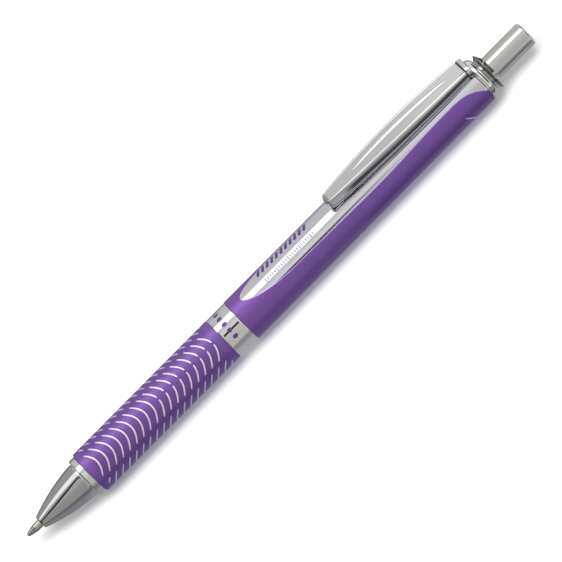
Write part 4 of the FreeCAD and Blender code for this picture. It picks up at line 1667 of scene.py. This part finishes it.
@dataclass
class Studio:
    """Floor, soft light and camera."""

    elevation: float = 53.0
    roll: float = 45.24
    distance: float = 1.15
    view_width: float = 0.1110
    aim_ahead: float = 0.00095
    aim_low: float = 0.0001
    floor_size: float = 6.0
    floor_reach: float = 0.1

    def build(self) -> None:
        """Makes the whole studio."""
        bpy.context.scene.view_settings.view_transform = "Standard"
        self.floor()
        self.world()
        self.key_light()
        self.camera()

    def floor(self) -> None:
        """Pale floor, which shines back less in the pen's polish than it shows to the eye."""
        low = cad_box[0].z - 2e-5
        half = self.floor_size / 2
        mesh = bpy.data.meshes.new("floor")
        mesh.from_pydata([(-half, -half, low), (half, -half, low), (half, half, low), (-half, half, low)], [],
                         [(0, 1, 2, 3)])
        made = linked("floor", mesh)
        paint = bpy.data.materials.new("studio floor")
        paint.use_nodes = True
        paint.node_tree.nodes.clear()
        wiring = Wiring(paint.node_tree)
        seen = wiring.node("ShaderNodeBsdfDiffuse", {"Color": (0.93, 0.93, 0.94, 1.0)}).outputs[0]
        place = wiring.node("ShaderNodeSeparateXYZ", {0: wiring.node("ShaderNodeTexCoord").outputs["Object"]})
        away = wiring.math("DIVIDE", wiring.math("ABSOLUTE", place.outputs["Y"]), self.floor_reach)
        cool, blue = (0.92, 0.94, 1.0), (0.6, 0.7, 1.0, 1.0)
        # Painted shade in the floor's glow for reflections: darker in a band 15 to 30 mm beside the pen.
        shades = self.ramp(wiring, away, [(0.0, 0.44, cool), (0.09, 0.44, cool), (0.15, 0.29, cool),
                                          (0.3, 0.29, cool), (0.45, 0.46), (1.0, 0.5)])
        along = place.outputs["X"]
        # More painted shade and light in that glow: darker towards the point, darker in a strip 9 to 12 mm
        # beside the pen along the clip, brighter behind the button.
        under_tip = wiring.mapped(along, -0.058, -0.05, 0.55, 1.0)
        under_button = wiring.mapped(along, 0.0705, 0.0725, 1.0, 1.9)
        strip = wiring.times(wiring.mapped(away, 0.088, 0.094, 0.0, 1.0),
                             wiring.mapped(away, 0.114, 0.124, 1.0, 0.0))
        under_clip = wiring.times(strip, wiring.mapped(along, 0.0205, 0.0235, 0.0, 0.85))
        dim = wiring.times(wiring.times(under_tip, under_button), wiring.minus(1.0, under_clip))
        mirrored = wiring.node("ShaderNodeEmission", {"Color": shades, "Strength": dim}).outputs[0]
        bounced = wiring.node("ShaderNodeEmission", {"Color": blue, "Strength": 0.26}).outputs[0]
        lift = wiring.node("ShaderNodeEmission", {"Color": (0.12, 0.12, 0.115, 1.0)}).outputs[0]
        seen = wiring.node("ShaderNodeAddShader", {0: seen, 1: lift}).outputs[0]
        wiring.node("ShaderNodeOutputMaterial", {"Surface": self.by_ray(wiring, seen, mirrored, bounced)})
        mesh.materials.append(paint)

    def by_ray(self, wiring: Wiring, seen: Feed, mirrored: Feed, other: Feed) -> bpy.types.NodeSocket:
        """Picks a shader by the kind of ray that meets it.

        Args:
            wiring: the tree that needs it.
            seen: shader for the camera's own rays.
            mirrored: shader for reflections.
            other: shader for soft bounces.

        Returns:
            The picked shader.
        """
        path = wiring.node("ShaderNodeLightPath").outputs
        unseen = wiring.node("ShaderNodeMixShader", {0: path["Is Glossy Ray"], 1: other, 2: mirrored})
        mix = wiring.node("ShaderNodeMixShader", {0: path["Is Camera Ray"], 1: unseen.outputs[0], 2: seen})
        return mix.outputs[0]

    def ramp(self, wiring: Wiring, share: Feed, stops: Sequence[tuple]) -> bpy.types.NodeSocket:
        """Adds a colour ramp.

        Args:
            wiring: the tree that needs it.
            share: socket with the place on the ramp, from 0 to 1.
            stops: (place, brightness) or (place, brightness, tint) in order.

        Returns:
            The ramp's colour.
        """
        made = wiring.node("ShaderNodeValToRGB", {"Fac": share})
        elements = made.color_ramp.elements
        for number, (place, light, *tint) in enumerate(stops):
            stop = elements[number] if number < 2 else elements.new(1.0)
            stop.position = place
            stop.color = tuple(channel * light for channel in (tint[0] if tint else (1.0, 1.0, 1.0))) + (1.0,)
        return made.outputs[0]

    def glows(self) -> list[Glow]:
        """Soft boxes and gaps round the pen, from the low Y horizon over the top to the high Y one.

        Returns:
            The glows in order of their angle.
        """
        cool, warm, rosy = (0.97, 0.98, 1.0), (1.0, 0.98, 0.94), (1.0, 0.975, 0.97)
        return [
            Glow(-180, 0.45), Glow(0, 0.52, warm), Glow(20, 0.52, warm), Glow(45, 0.56, warm),
            Glow(60, 0.72, cool), Glow(76, 0.72, cool), Glow(82, 0.62, cool), Glow(92, 0.62),
            Glow(97, 1.7, rosy), Glow(120.5, 1.7, rosy), Glow(125, 0.56), Glow(150, 0.58, cool),
            Glow(180, 0.54, cool),
        ]

    def world(self) -> None:
        """Studio walls and soft boxes, as light that depends only on the direction."""
        world = bpy.data.worlds.new("studio")
        bpy.context.scene.world = world
        world.use_nodes = True
        world.node_tree.nodes.clear()
        wiring = Wiring(world.node_tree)
        direction = wiring.node("ShaderNodeTexCoord").outputs["Generated"]
        way = wiring.node("ShaderNodeSeparateXYZ", {0: direction})
        turn = wiring.math("ARCTAN2", way.outputs["Z"], wiring.times(way.outputs["Y"], -1.0))
        angle = wiring.math("DEGREES", turn)
        lean = wiring.math("DEGREES", wiring.math("ARCSINE", way.outputs["X"]))
        brightest = max(glow.light for glow in self.glows())
        stops = [((glow.angle + 180) / 360, glow.light / brightest, glow.tint) for glow in self.glows()]
        bands = self.ramp(wiring, wiring.mapped(angle, -180.0, 180.0, 0.0, 1.0), stops)
        ends = [(0.0, 0.12), (0.2, 0.12), (0.24, 0.55), (0.455, 0.58), (0.475, 1.0), (0.52, 1.0),
                (0.55, 1.25), (0.69, 1.25), (0.71, 0.12), (0.83, 0.12), (0.86, 1.2), (1.0, 0.9)]
        most = max(light for _, light in ends)
        ends = [(place, light / most) for place, light in ends]
        walls = self.ramp(wiring, wiring.mapped(lean, -90.0, 90.0, 0.0, 1.0), ends)
        light = wiring.mixed(1.0, bands, walls, blend="MULTIPLY")
        light = wiring.mixed(self.dark_slots(wiring, angle, lean), light, (0.015, 0.015, 0.016, 1.0))
        studio, soft, plain = [
            wiring.node("ShaderNodeBackground", {"Color": colour, "Strength": strength}).outputs[0]
            for colour, strength in ((light, brightest * most), ((0.98, 0.99, 1.0, 1.0), 0.5),
                                     ((0.93, 0.93, 0.94, 1.0), 1.0))]
        wiring.node("ShaderNodeOutputWorld", {"Surface": self.by_ray(wiring, plain, studio, soft)})

    def dark_slots(self, wiring: Wiring, angle: Feed, lean: Feed) -> bpy.types.NodeSocket:
        """Gaps between the soft walls, behind the camera and ahead of the point.

        Args:
            wiring: the world's wiring.
            angle: degrees above the low Y horizon.
            lean: degrees towards high X.

        Returns:
            A mask that is 1 inside a gap.
        """
        off = wiring.math("ABSOLUTE", wiring.minus(angle, 57.0))
        behind = wiring.times(wiring.mapped(off, 4.4, 5.8, 1.0, 0.0),
                             wiring.mapped(wiring.math("ABSOLUTE", lean), 1.1, 1.9, 1.0, 0.0))
        middle = wiring.math("MULTIPLY_ADD", lean, 0.78, 92.5)
        off = wiring.math("ABSOLUTE", wiring.minus(angle, middle))
        half = wiring.math("MULTIPLY_ADD", lean, -0.2, 2.0)
        edge = wiring.minus(off, half)
        ahead = wiring.times(wiring.mapped(edge, -0.6, 1.2, 1.0, 0.0),
                            wiring.mapped(lean, -7.5, -6.5, 1.0, 0.0))
        return wiring.math("MAXIMUM", behind, ahead)

    def key_light(self) -> None:
        """Large soft light overhead."""
        lamp = bpy.data.lights.new("key", "AREA")
        lamp.shape = "RECTANGLE"
        lamp.size, lamp.size_y = 1.3, 0.62
        lamp.energy = 10.5
        lamp.color = (1.0, 0.985, 0.97)
        made = linked("key", lamp)
        made.location = (0.0, -0.08, 1.0)
        made.visible_glossy = False

    def camera(self) -> None:
        """Camera from the low Y side and above, turned so that the pen rises to the right."""
        seen = bpy.data.cameras.new("camera")
        seen.sensor_width = 36.0
        seen.lens = seen.sensor_width * self.distance / self.view_width
        seen.clip_end = 20.0
        made = linked("camera", seen)
        tilt, turn = math.radians(self.elevation), math.radians(self.roll)
        back = Vector((0, -math.cos(tilt), math.sin(tilt)))
        upright = Vector((0, math.sin(tilt), math.cos(tilt)))
        along = Vector((1, 0, 0))
        right = along * math.cos(turn) - upright * math.sin(turn)
        up = along * math.sin(turn) + upright * math.cos(turn)
        middle = (cad_box[0].x + cad_box[1].x) / 2
        aim = Vector((middle + self.aim_ahead, 0, AXIS_Z)) - upright * self.aim_low
        made.matrix_world = matrix_from(right, up, back, aim + back * self.distance)
        bpy.context.scene.camera = made


def matrix_from(right: Vector, up: Vector, back: Vector, place: Vector) -> Matrix:
    """World matrix with the given axes as its columns."""
    rows = [(right[k], up[k], back[k], place[k]) for k in range(3)]
    return Matrix(rows + [(0, 0, 0, 1)])


def main() -> None:
    """Builds the studio and every part of the pen, in order."""
    logging.basicConfig(level=logging.INFO, format="%(message)s")
    Studio().build()
    for part in (FrontSection(), Barrel(), Clip(), Collars(), Clicker(), Refill()):
        part.build()
        log.info("%s done: %d pieces", type(part).__name__, len(part.made))


if __name__ == "__main__":
    main()
